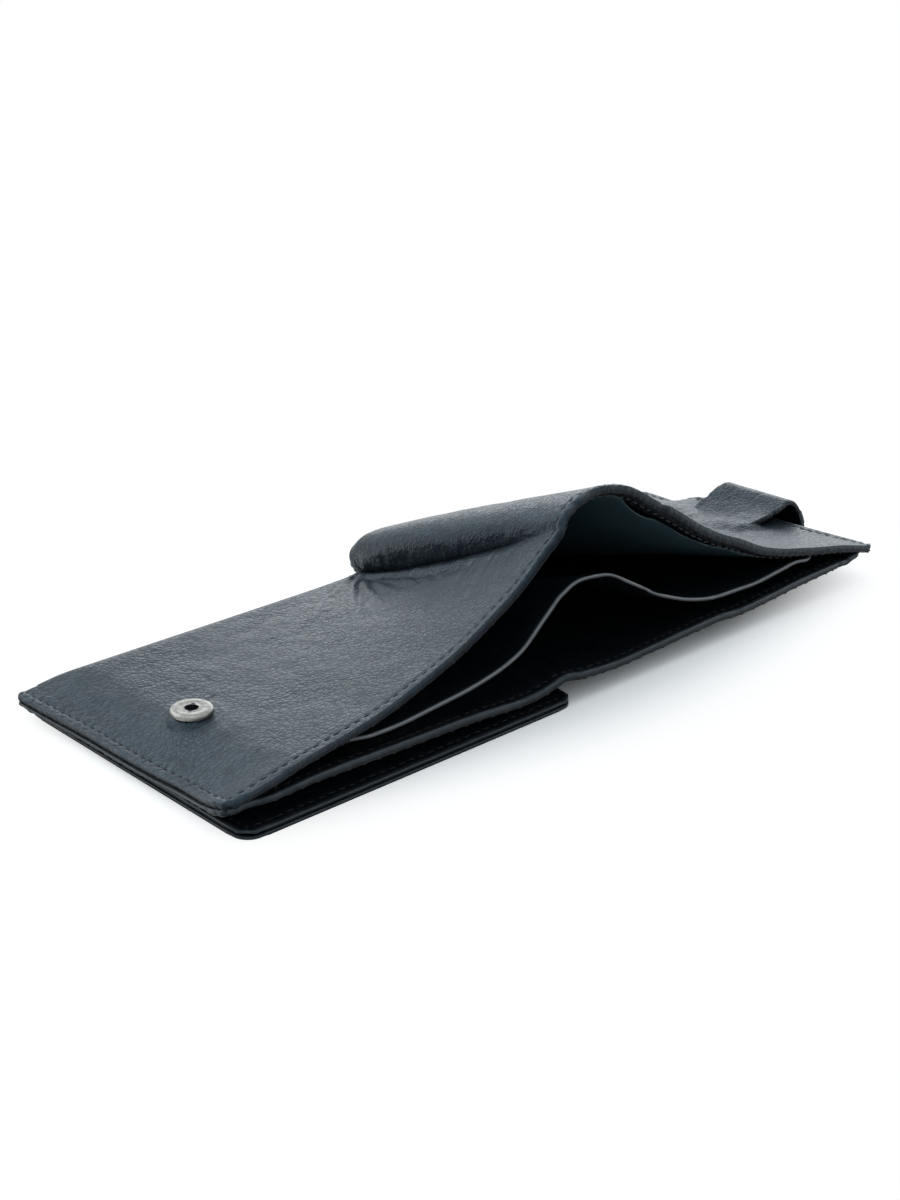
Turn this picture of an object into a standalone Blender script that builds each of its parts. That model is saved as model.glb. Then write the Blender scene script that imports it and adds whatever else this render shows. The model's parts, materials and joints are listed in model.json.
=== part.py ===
# Leather bifold wallet, lying open and inside-down with the mouth of its note compartment gaping.
# Metres. X runs along the open wallet, Y from the note mouth to the closed long edge, Z up.
# While modelling, X = 0 is the left short edge, Y = 0 the mouth edge and Z = 0 the table.
# place() moves the finished points so that the origin is under the middle of the part.
import math

import bmesh
import bpy
from mathutils import Vector

for thing in list(bpy.data.objects):
    bpy.data.objects.remove(thing, do_unlink=True)

# The two halves and the gaping mouth
HEIGHT = 0.095                # mouth edge to closed long edge
FRONT_LENGTH = 0.1145         # left half, short edge to first fold
BACK_OVERHANG = 0.0025        # right half reaches this far past the left one when shut
BACK_SKEW = 0.003             # and is this much shorter along the closed edge, because it lies a little turned
FOLD_CLEARANCE = 0.0017       # between the two halves once the wallet is shut
MOUTH_RISE = 0.051            # how far the crest stands above the flat cover
CORNER_RADIUS = 0.003
GAP = 0.0003                  # between leathers that lie on each other

# Thicknesses
COVER = 0.0015
LINING = 0.0005
DIVIDER = 0.0006
PANEL = 0.0012
POCKET = 0.0007
HEM = 0.0085                  # width of the turned mouth edges
HEM_CLEARANCE = 0.0012        # from the turned mouth edge to the lining
COVER_HEM = 0.0007            # extra thickness where an edge is turned
DIVIDER_HEM = 0.0005
PANEL_HEM = 0.0016
PANEL_HEM_ENDS = 0.0006       # at the short edges
PANEL_HEM_TAPER = 0.04
EDGE_INSET = 0.006            # linings and dividers stop short of the short edges
FAR_INSET = 0.003             # and of the closed long edge

# The hinged inner leaf under the left half
WING_SKIN = 0.0007
WING_FILM = 0.0002
WING_POCKET = 0.0006
WING_SIDE_INSET = 0.0018      # from the left half's short edge
WING_MOUTH_INSET = 0.0002     # and its mouth edge
WING_SHORTFALL = 0.0027       # from its free end to the first fold
WING_RADIUS = 0.005
WING_FRAME_BORDER = 0.013
WING_FILM_LAP = 0.003         # film under the frame's border
WING_POCKET_DROP = 0.022      # mouth of the wing's pocket below its free edge
HINGE_STRIP_WIDTH = 0.007
HINGE_OFFSET = 0.0002         # hinge line past the closed long edge

# Card pockets
POCKET_END_GAP = 0.005        # from the folds
POCKET_SIDE_INSET = 0.0075    # from the short edges
POCKET_MOUTH = 0.012          # upper pocket's mouth, from the mouth edge
POCKET_STEP = 0.016           # lower pocket's mouth behind the upper one's

# The ridge of spare cover leather over the spine
CREASE_FAR = 0.0004           # crease past the first fold, at the closed edge
CREASE_SWEEP = 0.0105         # crease short of the first fold, at the mouth
FOOT_FAR = 0.0033             # ridge's right foot past the second fold, at the closed edge
FOOT_NEAR = 0.013             # the same at the mouth
RIDGE_HEIGHT = 0.0098         # ridge above the flat cover, at the closed edge
DIVIDER_ARCH_LEFT = 0.0075    # divider's spine piece starts this far before the first fold, at the mouth
DIVIDER_ARCH_RIGHT = 0.0067   # and ends this far past the second
DIVIDER_FOOT = 0.0005         # the same, both sides, at the closed edge

# The right half is lifted at its end by the strap tucked under it, and droops beyond the strap
BACK_LIFT = 0.0014
BACK_LIFT_RUN = 0.077
END_DIP = 0.0012              # and comes down again at its short edge
END_DIP_LENGTH = 0.02
DROOP = 0.003                 # beyond the strap, at the short edge
DROOP_LENGTH = 0.05           # from the short edge
DROOP_START = 0.07            # from the mouth edge
DROOP_FULL = 0.088

# Closing strap and snap
STRAP_WIDTH = 0.027
STRAP_THICKNESS = 0.0016
STRAP_MIDDLE = 0.0475         # from the mouth edge
STRAP_START = 0.015           # from the right short edge
STRAP_TAB = 0.008             # sewn part
STRAP_LIFT = 0.0171
STRAP_TURN = 0.0128
STRAP_END_RADIUS = 0.007
STRAP_TIP = 0.0065            # strap past the middle of its stud
STRAP_SETBACK = 0.0016        # from a bend to the start of the next length
STRAP_ROOT_SETBACK = 0.0004
STRAP_LIFT_ANGLE = math.radians(6.4)
STRAP_TURN_ANGLE = math.radians(-54.2)
STRAP_SHUT_LEAN = math.radians(18.0)
SNAP_X = 0.0201               # ring on the left cover
SNAP_Y = 0.0457
SNAP_RADIUS = 0.0056
SNAP_HEIGHT = 0.0013
SNAP_BEVEL = 0.0004
SNAP_FIT = 0.00015            # between the snap's metal and the leather
SOCKET_RADIUS = 0.0023
SOCKET_FLOOR = 0.0004
STUD_RADIUS = 0.00145
STUD_LENGTH = 0.0013
STUD_RUNNING_GAP = 0.0003
POST_RADIUS = 0.0009
CAP_RADIUS = 0.0055
CAP_THICKNESS = 0.0006

# Shapes as shares. First column: share of the length along X. Second: share of the rise.
FRONT_RISE_SHARES = ((0.0, 0.05), (0.178, 0.163), (0.293, 0.178), (0.418, 0.225), (0.544, 0.306), (0.668, 0.404),
                     (0.793, 0.537), (0.86, 0.62), (0.928, 0.73), (1.0, 0.845))
BACK_RISE_SHARES = ((0.0, 0.859), (0.126, 0.688), (0.203, 0.578), (0.29, 0.475), (0.377, 0.392), (0.464, 0.3),
                    (0.551, 0.235), (0.647, 0.186), (0.734, 0.145), (0.831, 0.104), (0.927, 0.066), (1.0, 0.035))
PANEL_RISE = 0.0052
PANEL_RISE_SHARES = ((0.0, 0.6), (0.052, 0.85), (0.105, 0.98), (0.205, 0.87), (0.314, 0.71), (0.373, 0.5),
                     (0.403, 0.5), (0.438, 0.82), (0.45, 0.85), (0.472, 0.65), (0.532, 0.45), (0.581, 0.48),
                     (0.7, 0.52), (0.74, 0.34), (0.81, 0.44), (0.849, 0.56), (0.929, 0.6), (0.968, 0.42), (1.0, 0.2))
# Share of the room between panel and lining that lies under the divider
DIVIDER_SHARES = ((0.0, 0.0), (0.031, 0.3), (0.077, 0.64), (0.134, 1.0), (0.172, 0.75), (0.205, 0.545),
                  (0.259, 0.45), (0.317, 0.4), (0.375, 0.45), (0.404, 0.546), (0.433, 0.61), (0.457, 0.67),
                  (0.478, 0.675), (0.511, 0.638), (0.541, 0.535), (0.577, 0.41), (0.611, 0.35), (0.644, 0.3),
                  (0.697, 0.26), (0.735, 0.33), (0.772, 0.42), (0.81, 0.64), (0.847, 0.92), (0.899, 1.0), (1.0, 1.0))
DIVIDER_HIGHEST = 0.92
# Ridge outline: at the mouth (x, z) and at the closed edge (x, z), then how the height fades between them
RIDGE_SHARES = ((0.0, 0.845, 0.0, 0.0, 1.17), (0.03, 0.9, -0.15, 0.38, 1.12), (0.11, 0.945, -0.2, 0.72, 1.05),
                (0.22, 0.977, -0.06, 0.94, 0.97), (0.4, 1.0, 0.25, 1.0, 0.93), (0.62, 0.98, 0.75, 0.97, 0.95),
                (0.82, 0.93, 1.05, 0.6, 1.03), (1.0, 0.859, 1.0, 0.03, 1.1))
EDGE_POWER = 2.6              # how fast the rise fades from mouth to closed edge, at the short edges
CREASE_POWER = 1.17           # at the crease
FOOT_POWER = 1.1              # at the ridge's right foot
BACK_EDGE_POWER = 3.0
PANEL_POWER = 2.6
STEEPNESS = 0.45              # slanted leather measures thicker upwards
ROW_SHARES = (0.0, 0.014, 0.04, 0.2, 0.4, 0.53, 0.65, 0.72, 0.785, 0.88, 0.986, 1.0)
COLUMNS = 12
SPINE_COLUMNS = 5
RIDGE_COLUMNS = 18

DROOP_SHARES = ((0.0, 1.0), (0.08, 0.85), (0.15, 0.62), (0.24, 0.42), (0.4, 0.22), (0.64, 0.08), (1.0, 0.0))

# Heights of the stack, from the table up, along the closed edge
FRAME_TOP = WING_SKIN
FILM_BOTTOM = FRAME_TOP + GAP
WING_PANEL_BOTTOM = FILM_BOTTOM + WING_FILM + GAP
WING_POCKET_BOTTOM = WING_PANEL_BOTTOM + WING_SKIN + GAP
WING_TOP = WING_POCKET_BOTTOM + WING_POCKET
PANEL_BOTTOM = WING_TOP + GAP + POCKET + GAP
PANEL_TOP = PANEL_BOTTOM + PANEL
COVER_TOP = PANEL_TOP + GAP + DIVIDER + GAP + LINING + GAP + COVER
FOLD_HEIGHT = PANEL_BOTTOM - GAP / 2
SPINE_WIDTH = 2 * FOLD_HEIGHT + FOLD_CLEARANCE
SECOND_FOLD = FRONT_LENGTH + SPINE_WIDTH
BACK_LENGTH = FRONT_LENGTH + BACK_OVERHANG
LENGTH = SECOND_FOLD + BACK_LENGTH


def blend(start, end, share):
    return start + (end - start) * share


def follow(table, share):
    """Smooth curve through a table's points."""
    last = len(table) - 1
    share = min(max(share, table[0][0]), table[last][0])
    i = max(k for k in range(last) if table[k][0] <= share)
    before, start, end, after = (table[min(max(k, 0), last)] for k in (i - 1, i, i + 1, i + 2))
    span = end[0] - start[0]
    t = (share - start[0]) / span
    slope_in = (end[1] - before[1]) / (end[0] - before[0]) * span
    slope_out = (after[1] - start[1]) / (after[0] - start[0]) * span
    return ((2 * t**3 - 3 * t**2 + 1) * start[1] + (t**3 - 2 * t**2 + t) * slope_in
            + (3 * t**2 - 2 * t**3) * end[1] + (t**3 - t**2) * slope_out)


def nearness(y):
    """1 at the mouth, 0 at the closed long edge."""
    return max(1 - y / HEIGHT, 0.0)


def ease(value, start, end):
    t = min(max((value - start) / (end - start), 0.0), 1.0)
    return t * t * (3 - 2 * t)


def back_end(y):
    """X of the right short edge."""
    return LENGTH - BACK_SKEW * (1 - nearness(y))


def back_lift(x, y):
    lift = BACK_LIFT * ease(x, SECOND_FOLD, SECOND_FOLD + BACK_LIFT_RUN)
    lift -= END_DIP * ease(x, back_end(y) - END_DIP_LENGTH, back_end(y))
    droop = DROOP * follow(DROOP_SHARES, (back_end(y) - x) / DROOP_LENGTH)
    return lift - droop * ease(y, DROOP_START, DROOP_FULL)


def front_end(y):
    return blend(FRONT_LENGTH + CREASE_FAR, FRONT_LENGTH - CREASE_SWEEP, nearness(y))


def back_start(y):
    return blend(SECOND_FOLD + FOOT_FAR, SECOND_FOLD + FOOT_NEAR, nearness(y))


def front_cover_height(x, y):
    share = x / front_end(y)
    power = blend(EDGE_POWER, CREASE_POWER, share)
    return COVER_TOP + MOUTH_RISE * follow(FRONT_RISE_SHARES, share) * nearness(y) ** power


def back_cover_height(x, y):
    share = (x - back_start(y)) / (back_end(y) - back_start(y))
    power = blend(FOOT_POWER, BACK_EDGE_POWER, share)
    return COVER_TOP + back_lift(x, y) + MOUTH_RISE * follow(BACK_RISE_SHARES, share) * nearness(y) ** power


def cover_height(x, y):
    """Top of the cover; over the spine, the straight line under the ridge."""
    left, right = front_end(y), back_start(y)
    if x <= left:
        return front_cover_height(x, y)
    if x >= right:
        return back_cover_height(x, y)
    return blend(front_cover_height(left, y), back_cover_height(right, y), (x - left) / (right - left))


def lean(x, y):
    """How much thicker the slanted leather measures straight up."""
    left, right = front_end(y), back_start(y)
    share = x / left if x < left else (back_end(y) - x) / (back_end(y) - right) if x > right else 1.0
    return 1 + STEEPNESS * share * nearness(y)


def panel_height(x, y):
    return PANEL_TOP + back_lift(x, y) + PANEL_RISE * follow(PANEL_RISE_SHARES, x / LENGTH) * nearness(y) ** PANEL_POWER


def hem(y, extra):
    return extra if y <= HEM else 0.0


def panel_hem(x):
    return blend(PANEL_HEM_ENDS, PANEL_HEM, ease(min(x, LENGTH - x), 0, PANEL_HEM_TAPER))


def divider_bottom(x, y):
    ceiling = cover_height(x, y) - lean(x, y) * (COVER + GAP + LINING)
    room = ceiling - panel_height(x, y) - 2 * GAP - DIVIDER - DIVIDER_HEM * nearness(y)
    share = min(follow(DIVIDER_SHARES, x / LENGTH), DIVIDER_HIGHEST)
    return panel_height(x, y) + GAP + share * max(room, 0.0)


def round_corner(y, radius, low, high):
    """How far a rounded corner draws the short edge in at this y."""
    depth = min(max(min(y - low, high - y), 0.0), radius)
    return radius - math.sqrt(radius**2 - (radius - depth) ** 2)


# The strap's route at rest, in the X-Z plane, and its length up the shut wallet
def strap_near_y():
    return STRAP_MIDDLE - STRAP_WIDTH / 2


def along(point, length, angle):
    return point[0] + length * math.cos(angle), point[1] + length * math.sin(angle)


def shut(point):
    """Where a point of the right half comes to lie when the wallet is shut; its own inverse."""
    return 2 * FRONT_LENGTH + SPINE_WIDTH - point[0], 2 * FOLD_HEIGHT - SPINE_WIDTH - point[1]


RING_BOTTOM = SNAP_FIT + max(front_cover_height(SNAP_X + a, SNAP_Y + b)
                             for a in (-SNAP_RADIUS, 0, SNAP_RADIUS) for b in (-SNAP_RADIUS, 0, SNAP_RADIUS))
RING_TOP = RING_BOTTOM + SNAP_HEIGHT
STRAP_END_HEIGHT = CAP_THICKNESS + SNAP_FIT + STRAP_THICKNESS / 2
START_X = LENGTH - STRAP_START
STRAP_P0 = (START_X, back_cover_height(START_X, strap_near_y()) + GAP + STRAP_THICKNESS / 2)
STRAP_P1 = along(STRAP_P0, STRAP_LIFT, STRAP_LIFT_ANGLE)
STRAP_P2 = along(STRAP_P1, STRAP_TURN, STRAP_TURN_ANGLE)
SHUT_P1 = (STRAP_P0[0] + STRAP_LIFT, STRAP_P0[1])
SHUT_P2 = along(SHUT_P1, STRAP_TURN, STRAP_TURN_ANGLE - STRAP_LIFT_ANGLE)
SHUT_COVER = max(RING_TOP, front_cover_height(SNAP_X + STRAP_TIP, strap_near_y()))
SHUT_P3_HEIGHT = shut((0.0, SHUT_COVER + GAP + STRAP_THICKNESS / 2))[1]
STRAP_FOLD = (SHUT_P2[1] - SHUT_P3_HEIGHT) / math.cos(STRAP_SHUT_LEAN)
SHUT_P3 = (SHUT_P2[0] - STRAP_FOLD * math.sin(STRAP_SHUT_LEAN), SHUT_P3_HEIGHT)
STUD_DISTANCE = SHUT_P3[0] - shut((SNAP_X, 0.0))[0]
STRAP_FOLD_ANGLE = -math.pi + math.asin((STRAP_P2[1] - STRAP_END_HEIGHT) / STRAP_FOLD)
STRAP_P3 = along(STRAP_P2, STRAP_FOLD, STRAP_FOLD_ANGLE)
STUD_X = STRAP_P3[0] - STUD_DISTANCE
MIDDLE_X = (STRAP_P2[0] + STRAP_THICKNESS / 2) / 2


def place(x, y, z):
    return Vector((x - MIDDLE_X, y - HEIGHT / 2, z))


def material(name, colour, roughness, metallic=0.0, alpha=1.0):
    made = bpy.data.materials.new(name)
    made.use_nodes = True
    surface = made.node_tree.nodes["Principled BSDF"]
    surface.inputs["Base Color"].default_value = (*colour, 1.0)
    surface.inputs["Roughness"].default_value = roughness
    surface.inputs["Metallic"].default_value = metallic
    surface.inputs["Alpha"].default_value = alpha
    return made


GRAINED_LEATHER = material("grained_leather", (0.030, 0.032, 0.036), 0.42)
SMOOTH_LEATHER = material("smooth_leather", (0.035, 0.038, 0.043), 0.5)
LINING_FABRIC = material("lining_leather", (0.05, 0.055, 0.062), 0.6)
CLEAR_FILM = material("clear_film", (0.85, 0.87, 0.88), 0.15, alpha=0.3)
NICKEL = material("nickel", (0.56, 0.56, 0.55), 0.25, metallic=1.0)
DARK_NICKEL = material("dark_nickel", (0.2, 0.2, 0.21), 0.35, metallic=1.0)


def finish(name, mesh, surface, smooth_angle=math.radians(35)):
    bmesh.ops.recalc_face_normals(mesh, faces=mesh.faces)
    data = bpy.data.meshes.new(name)
    mesh.to_mesh(data)
    mesh.free()
    data.shade_smooth()
    data.set_sharp_from_angle(angle=smooth_angle)
    data.materials.append(surface)
    made = bpy.data.objects.new(name, data)
    bpy.context.scene.collection.objects.link(made)
    return made


def split_quad(mesh, a, b, c, d):
    """Two triangles, always across a-c, so that leathers on each other keep their gap."""
    mesh.faces.new((a, b, c))
    mesh.faces.new((a, c, d))


def sheet(name, upper, lower, columns, rows, surface):
    """Closed leather sheet between two surfaces, each a function of (column share, row share)."""
    mesh = bmesh.new()
    over, under = ([[mesh.verts.new(place(*side(column, row))) for column in columns] for row in rows]
                   for side in (upper, lower))
    last_row, last_column = len(rows) - 1, len(columns) - 1
    for j in range(last_row):
        for i in range(last_column):
            split_quad(mesh, over[j][i], over[j][i + 1], over[j + 1][i + 1], over[j + 1][i])
            split_quad(mesh, under[j][i], under[j + 1][i], under[j + 1][i + 1], under[j][i + 1])
        for i in (0, last_column):
            split_quad(mesh, over[j][i], over[j + 1][i], under[j + 1][i], under[j][i])
    for j in (0, last_row):
        for i in range(last_column):
            split_quad(mesh, over[j][i], under[j][i], under[j][i + 1], over[j][i + 1])
    return finish(name, mesh, surface)


def even(count):
    return [i / count for i in range(count + 1)]


def extruded(name, outline, step, surface):
    """Solid from a flat outline of placed points, pushed along a step."""
    mesh = bmesh.new()
    face = mesh.faces.new([mesh.verts.new(point) for point in outline])
    pushed = bmesh.ops.extrude_face_region(mesh, geom=[face])
    moved = [item for item in pushed["geom"] if isinstance(item, bmesh.types.BMVert)]
    bmesh.ops.translate(mesh, verts=moved, vec=step)
    return finish(name, mesh, surface)


def rounded_rectangle(x0, x1, y0, y1, radius, steps=5):
    corners = ((x1 - radius, y1 - radius, 0), (x0 + radius, y1 - radius, 1),
               (x0 + radius, y0 + radius, 2), (x1 - radius, y0 + radius, 3))
    return [(x + radius * math.cos((quarter + i / steps) * math.pi / 2),
             y + radius * math.sin((quarter + i / steps) * math.pi / 2))
            for x, y, quarter in corners for i in range(steps + 1)]


def plate(name, outline, bottom, thickness, surface):
    return extruded(name, [place(x, y, bottom) for x, y in outline], Vector((0, 0, thickness)), surface)


def turned(name, profile, x, y, surface, steps=32):
    """Solid of revolution about an upright axis; the profile runs in (radius, height)."""
    mesh = bmesh.new()
    start = [mesh.verts.new(place(x + radius, y, height)) for radius, height in profile]
    edges = [mesh.edges.new(pair) for pair in zip(start, start[1:])]
    bmesh.ops.spin(mesh, geom=start + edges, cent=place(x, y, 0), axis=(0, 0, 1), angle=math.tau, steps=steps,
                   use_merge=True)
    bmesh.ops.remove_doubles(mesh, verts=mesh.verts, dist=GAP / 100)
    return finish(name, mesh, surface)


def cut(made, name, radius, x, y, bottom, top, steps=32):
    """Round hole through a solid."""
    circle = [(x + radius * math.cos(math.tau * i / steps), y + radius * math.sin(math.tau * i / steps))
              for i in range(steps)]
    cutter = plate(name, circle, bottom, top - bottom, SMOOTH_LEATHER)
    cutter.hide_render = True
    cutter.display_type = "WIRE"
    hole = made.modifiers.new(name, "BOOLEAN")
    hole.operation = "DIFFERENCE"
    hole.object = cutter


# Covers, linings, dividers and inner panels of the two halves
def within(shares, low, high):
    """The shared grid lines between two shares, with those two at the ends."""
    margin = GAP / LENGTH
    return [low] + [share for share in shares if low + margin < share < high - margin] + [high]


def half_x(share, y, left, right, side):
    """X at a share of a half's width, its outer corners rounded."""
    drawn = round_corner(y, CORNER_RADIUS, 0, HEIGHT)
    if side == "front":
        return blend(left + drawn, right, share)
    return blend(left, right - drawn, share)


def half_columns(outer_inset, inner_inset, side):
    """One grid for every leather of a half, with a line wherever one of them ends."""
    outer = [inset / BACK_LENGTH for inset in (EDGE_INSET, POCKET_SIDE_INSET)]
    columns = sorted(even(COLUMNS) + outer + [1 - POCKET_END_GAP / BACK_LENGTH])
    kept = within(columns, outer_inset / BACK_LENGTH, 1 - inner_inset / BACK_LENGTH)
    return kept if side == "front" else [1 - share for share in reversed(kept)]


def rows_between(near, far):
    """The same for the rows; the last step of the turned edge is sharp."""
    ends = (HEM, HEM + GAP, HEM + HEM_CLEARANCE, POCKET_MOUTH, POCKET_MOUTH + POCKET_STEP, HEIGHT - FAR_INSET)
    rows = sorted(ROW_SHARES + tuple(y / HEIGHT for y in ends))
    return within(rows, near / HEIGHT, 1 - far / HEIGHT)


def cover_x(column, y, side):
    if side == "front":
        return half_x(column, y, 0, front_end(y) - GAP / 2, side)
    return half_x(column, y, back_start(y) + GAP / 2, back_end(y), side)


def make_cover(side):
    def upper(column, row):
        y = row * HEIGHT
        x = cover_x(column, y, side)
        return x, y, cover_height(x, y)

    def lower(column, row):
        x, y, z = upper(column, row)
        return x, y, z - lean(x, y) * COVER - hem(y, COVER_HEM)

    return sheet("cover_" + side, upper, lower, half_columns(0, 0, side), rows_between(0, 0), GRAINED_LEATHER)


def make_lining(side):
    def upper(column, row):
        y = row * HEIGHT
        x = cover_x(column, y, side)
        return x, y, cover_height(x, y) - lean(x, y) * (COVER + GAP)

    def lower(column, row):
        x, y, z = upper(column, row)
        return x, y, z - lean(x, y) * LINING

    rows = rows_between(HEM + HEM_CLEARANCE, FAR_INSET)
    return sheet("cover_lining_" + side, upper, lower, half_columns(EDGE_INSET, 0, side), rows, LINING_FABRIC)


def divider_ends(y):
    near = nearness(y)
    left = FRONT_LENGTH - blend(DIVIDER_FOOT, DIVIDER_ARCH_LEFT, near)
    return left, SECOND_FOLD + blend(DIVIDER_FOOT, DIVIDER_ARCH_RIGHT, near)


def make_divider(side):
    def upper(column, row):
        x, y, z = lower(column, row)
        return x, y, z + DIVIDER + hem(y, DIVIDER_HEM)

    def lower(column, row):
        y = row * HEIGHT
        left, right = divider_ends(y)
        if side == "front":
            x = half_x(column, y, 0, left - GAP / 2, side)
        elif side == "back":
            x = half_x(column, y, right + GAP / 2, back_end(y), side)
        else:
            x = blend(left + GAP / 2, right - GAP / 2, column)
        return x, y, divider_bottom(x, y)

    columns = even(SPINE_COLUMNS) if side == "spine" else half_columns(EDGE_INSET, 0, side)
    return sheet("divider_" + side, upper, lower, columns, rows_between(0, FAR_INSET), SMOOTH_LEATHER)


def panel_x(column, y, side):
    if side == "front":
        return half_x(column, y, 0, FRONT_LENGTH - GAP / 2, side)
    if side == "back":
        return half_x(column, y, SECOND_FOLD + GAP / 2, back_end(y), side)
    return blend(FRONT_LENGTH + GAP / 2, SECOND_FOLD - GAP / 2, column)


def make_inner_panel(side):
    def upper(column, row):
        y = row * HEIGHT
        x = panel_x(column, y, side)
        return x, y, panel_height(x, y)

    def lower(column, row):
        x, y, z = upper(column, row)
        return x, y, z - PANEL - hem(y, panel_hem(x))

    columns = even(SPINE_COLUMNS) if side == "spine" else half_columns(0, 0, side)
    return sheet("inner_panel_" + side, upper, lower, columns, rows_between(0, 0), SMOOTH_LEATHER)


def make_pocket(name, side, depth, mouth, far):
    """Card pocket leather under the inner panel; depth counts the leathers above it."""
    def upper(column, row):
        y = row * HEIGHT
        x = panel_x(column, y, side)
        return x, y, panel_height(x, y) - PANEL - GAP - depth * (POCKET + GAP)

    def lower(column, row):
        x, y, z = upper(column, row)
        return x, y, z - POCKET

    columns = half_columns(POCKET_SIDE_INSET, POCKET_END_GAP, side)
    return sheet(name, upper, lower, columns, rows_between(mouth, far), SMOOTH_LEATHER)


# The ridge over the spine
def ridge_point(column, y):
    near = nearness(y)
    left, right = front_end(y), back_start(y)

    def track(index):
        return [(k / (len(RIDGE_SHARES) - 1), row[index]) for k, row in enumerate(RIDGE_SHARES)]

    mouth_x, mouth_z, closed_x, closed_z, power = (follow(track(index), column) for index in range(5))
    x = left + GAP / 2 + (right - left - GAP) * blend(closed_x, mouth_x, near)
    return x, COVER_TOP + blend(RIDGE_HEIGHT * closed_z, MOUTH_RISE * mouth_z, near**power)


def ridge_inside(column, y, depth):
    """Point below the ridge's outer face, straight in."""
    step = 0.01
    start = ridge_point(max(column - step, 0.0), y)
    end = ridge_point(min(column + step, 1.0), y)
    run, rise = end[0] - start[0], end[1] - start[1]
    size = math.hypot(run, rise)
    x, z = ridge_point(column, y)
    return x + depth * rise / size, z - depth * run / size


def make_ridge(name, near, far, outer, thickness, surface):
    def upper(column, row):
        y = row * HEIGHT
        x, z = ridge_inside(column, y, outer)
        return x, y, z

    def lower(column, row):
        y = row * HEIGHT
        x, z = ridge_inside(column, y, outer + thickness)
        return x, y, z

    return sheet(name, upper, lower, even(RIDGE_COLUMNS), rows_between(near, far), surface)


# The hinged leaf under the left half
def make_wing():
    x0, x1 = WING_SIDE_INSET, FRONT_LENGTH - WING_SHORTFALL
    y0, y1 = WING_MOUTH_INSET, HEIGHT - GAP
    border = WING_FRAME_BORDER
    outer = rounded_rectangle(x0, x1, y0, y1, WING_RADIUS)
    frame = plate("wing_frame", outer, 0, WING_SKIN, SMOOTH_LEATHER)
    window = rounded_rectangle(x0 + border, x1 - border, y0 + border, y1 - border, WING_RADIUS / 2)
    cutter = plate("window_cutter", window, -WING_SKIN, 3 * WING_SKIN, SMOOTH_LEATHER)
    cutter.hide_render = True
    cutter.display_type = "WIRE"
    hole = frame.modifiers.new("window", "BOOLEAN")
    hole.operation = "DIFFERENCE"
    hole.object = cutter
    lap = border - WING_FILM_LAP
    film = rounded_rectangle(x0 + lap, x1 - lap, y0 + lap, y1 - lap, WING_RADIUS / 2)
    plate("wing_window", film, FILM_BOTTOM, WING_FILM, CLEAR_FILM)
    plate("wing_panel", outer, WING_PANEL_BOTTOM, WING_SKIN, SMOOTH_LEATHER)
    pocket = rounded_rectangle(x0, x1, y0 + WING_POCKET_DROP, y1, WING_RADIUS)
    plate("wing_pocket", pocket, WING_POCKET_BOTTOM, WING_POCKET, SMOOTH_LEATHER)
    strip_far = HEIGHT - GAP
    strip = rounded_rectangle(x0, x1, strip_far - HINGE_STRIP_WIDTH, strip_far, WING_RADIUS / 4)
    plate("wing_hinge_strip", strip, WING_TOP + GAP, POCKET, SMOOTH_LEATHER)


# Snap: ring and socket on the left cover, stud and cap on the strap
def make_snap(cover):
    bore = SOCKET_RADIUS + STUD_RUNNING_GAP
    turned("snap_ring", [(bore, RING_BOTTOM), (SNAP_RADIUS, RING_BOTTOM), (SNAP_RADIUS, RING_TOP - SNAP_BEVEL),
                         (SNAP_RADIUS - SNAP_BEVEL, RING_TOP), (bore, RING_TOP), (bore, RING_BOTTOM)],
           SNAP_X, SNAP_Y, NICKEL)
    inner = STUD_RADIUS + STUD_RUNNING_GAP
    floor = cover_height(SNAP_X, SNAP_Y) - COVER
    turned("snap_socket", [(0, floor), (SOCKET_RADIUS, floor), (SOCKET_RADIUS, RING_TOP - SNAP_FIT),
                           (inner, RING_TOP - SNAP_FIT), (inner, floor + SOCKET_FLOOR), (0, floor + SOCKET_FLOOR)],
           SNAP_X, SNAP_Y, DARK_NICKEL)
    cut(cover, "socket_hole_cutter", SOCKET_RADIUS + SNAP_FIT, SNAP_X, SNAP_Y, floor - COVER, RING_TOP)
    strap_top = STRAP_END_HEIGHT + STRAP_THICKNESS / 2
    stud_bottom = strap_top + SNAP_FIT
    turned("snap_stud", [(0, stud_bottom), (STUD_RADIUS, stud_bottom), (STUD_RADIUS, stud_bottom + STUD_LENGTH / 2),
                         (STUD_RADIUS - SNAP_BEVEL, stud_bottom + STUD_LENGTH), (0, stud_bottom + STUD_LENGTH)],
           STUD_X, SNAP_Y, NICKEL)
    turned("snap_cap", [(0, 0), (CAP_RADIUS, 0), (CAP_RADIUS, CAP_THICKNESS / 2),
                        (CAP_RADIUS - SNAP_BEVEL, CAP_THICKNESS), (POST_RADIUS, CAP_THICKNESS),
                        (POST_RADIUS, strap_top), (0, strap_top)], STUD_X, SNAP_Y, NICKEL)


# The strap, one rigid length from bend to bend
def strap_length(name, start, end, setback):
    """Flat length whose far end is rounded about the bend it reaches."""
    half = STRAP_THICKNESS / 2
    angle = math.atan2(end[1] - start[1], end[0] - start[0])
    size = math.hypot(end[0] - start[0], end[1] - start[1])
    steps = 6
    outline = [(setback, half), (setback, -half)]
    outline += [(size + half * math.sin(math.pi * i / steps), -half * math.cos(math.pi * i / steps))
                for i in range(steps + 1)]
    points = [place(start[0] + a * math.cos(angle) - b * math.sin(angle), STRAP_MIDDLE - STRAP_WIDTH / 2,
                    start[1] + a * math.sin(angle) + b * math.cos(angle)) for a, b in outline]
    return extruded(name, points, Vector((0, STRAP_WIDTH, 0)), GRAINED_LEATHER)


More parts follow.
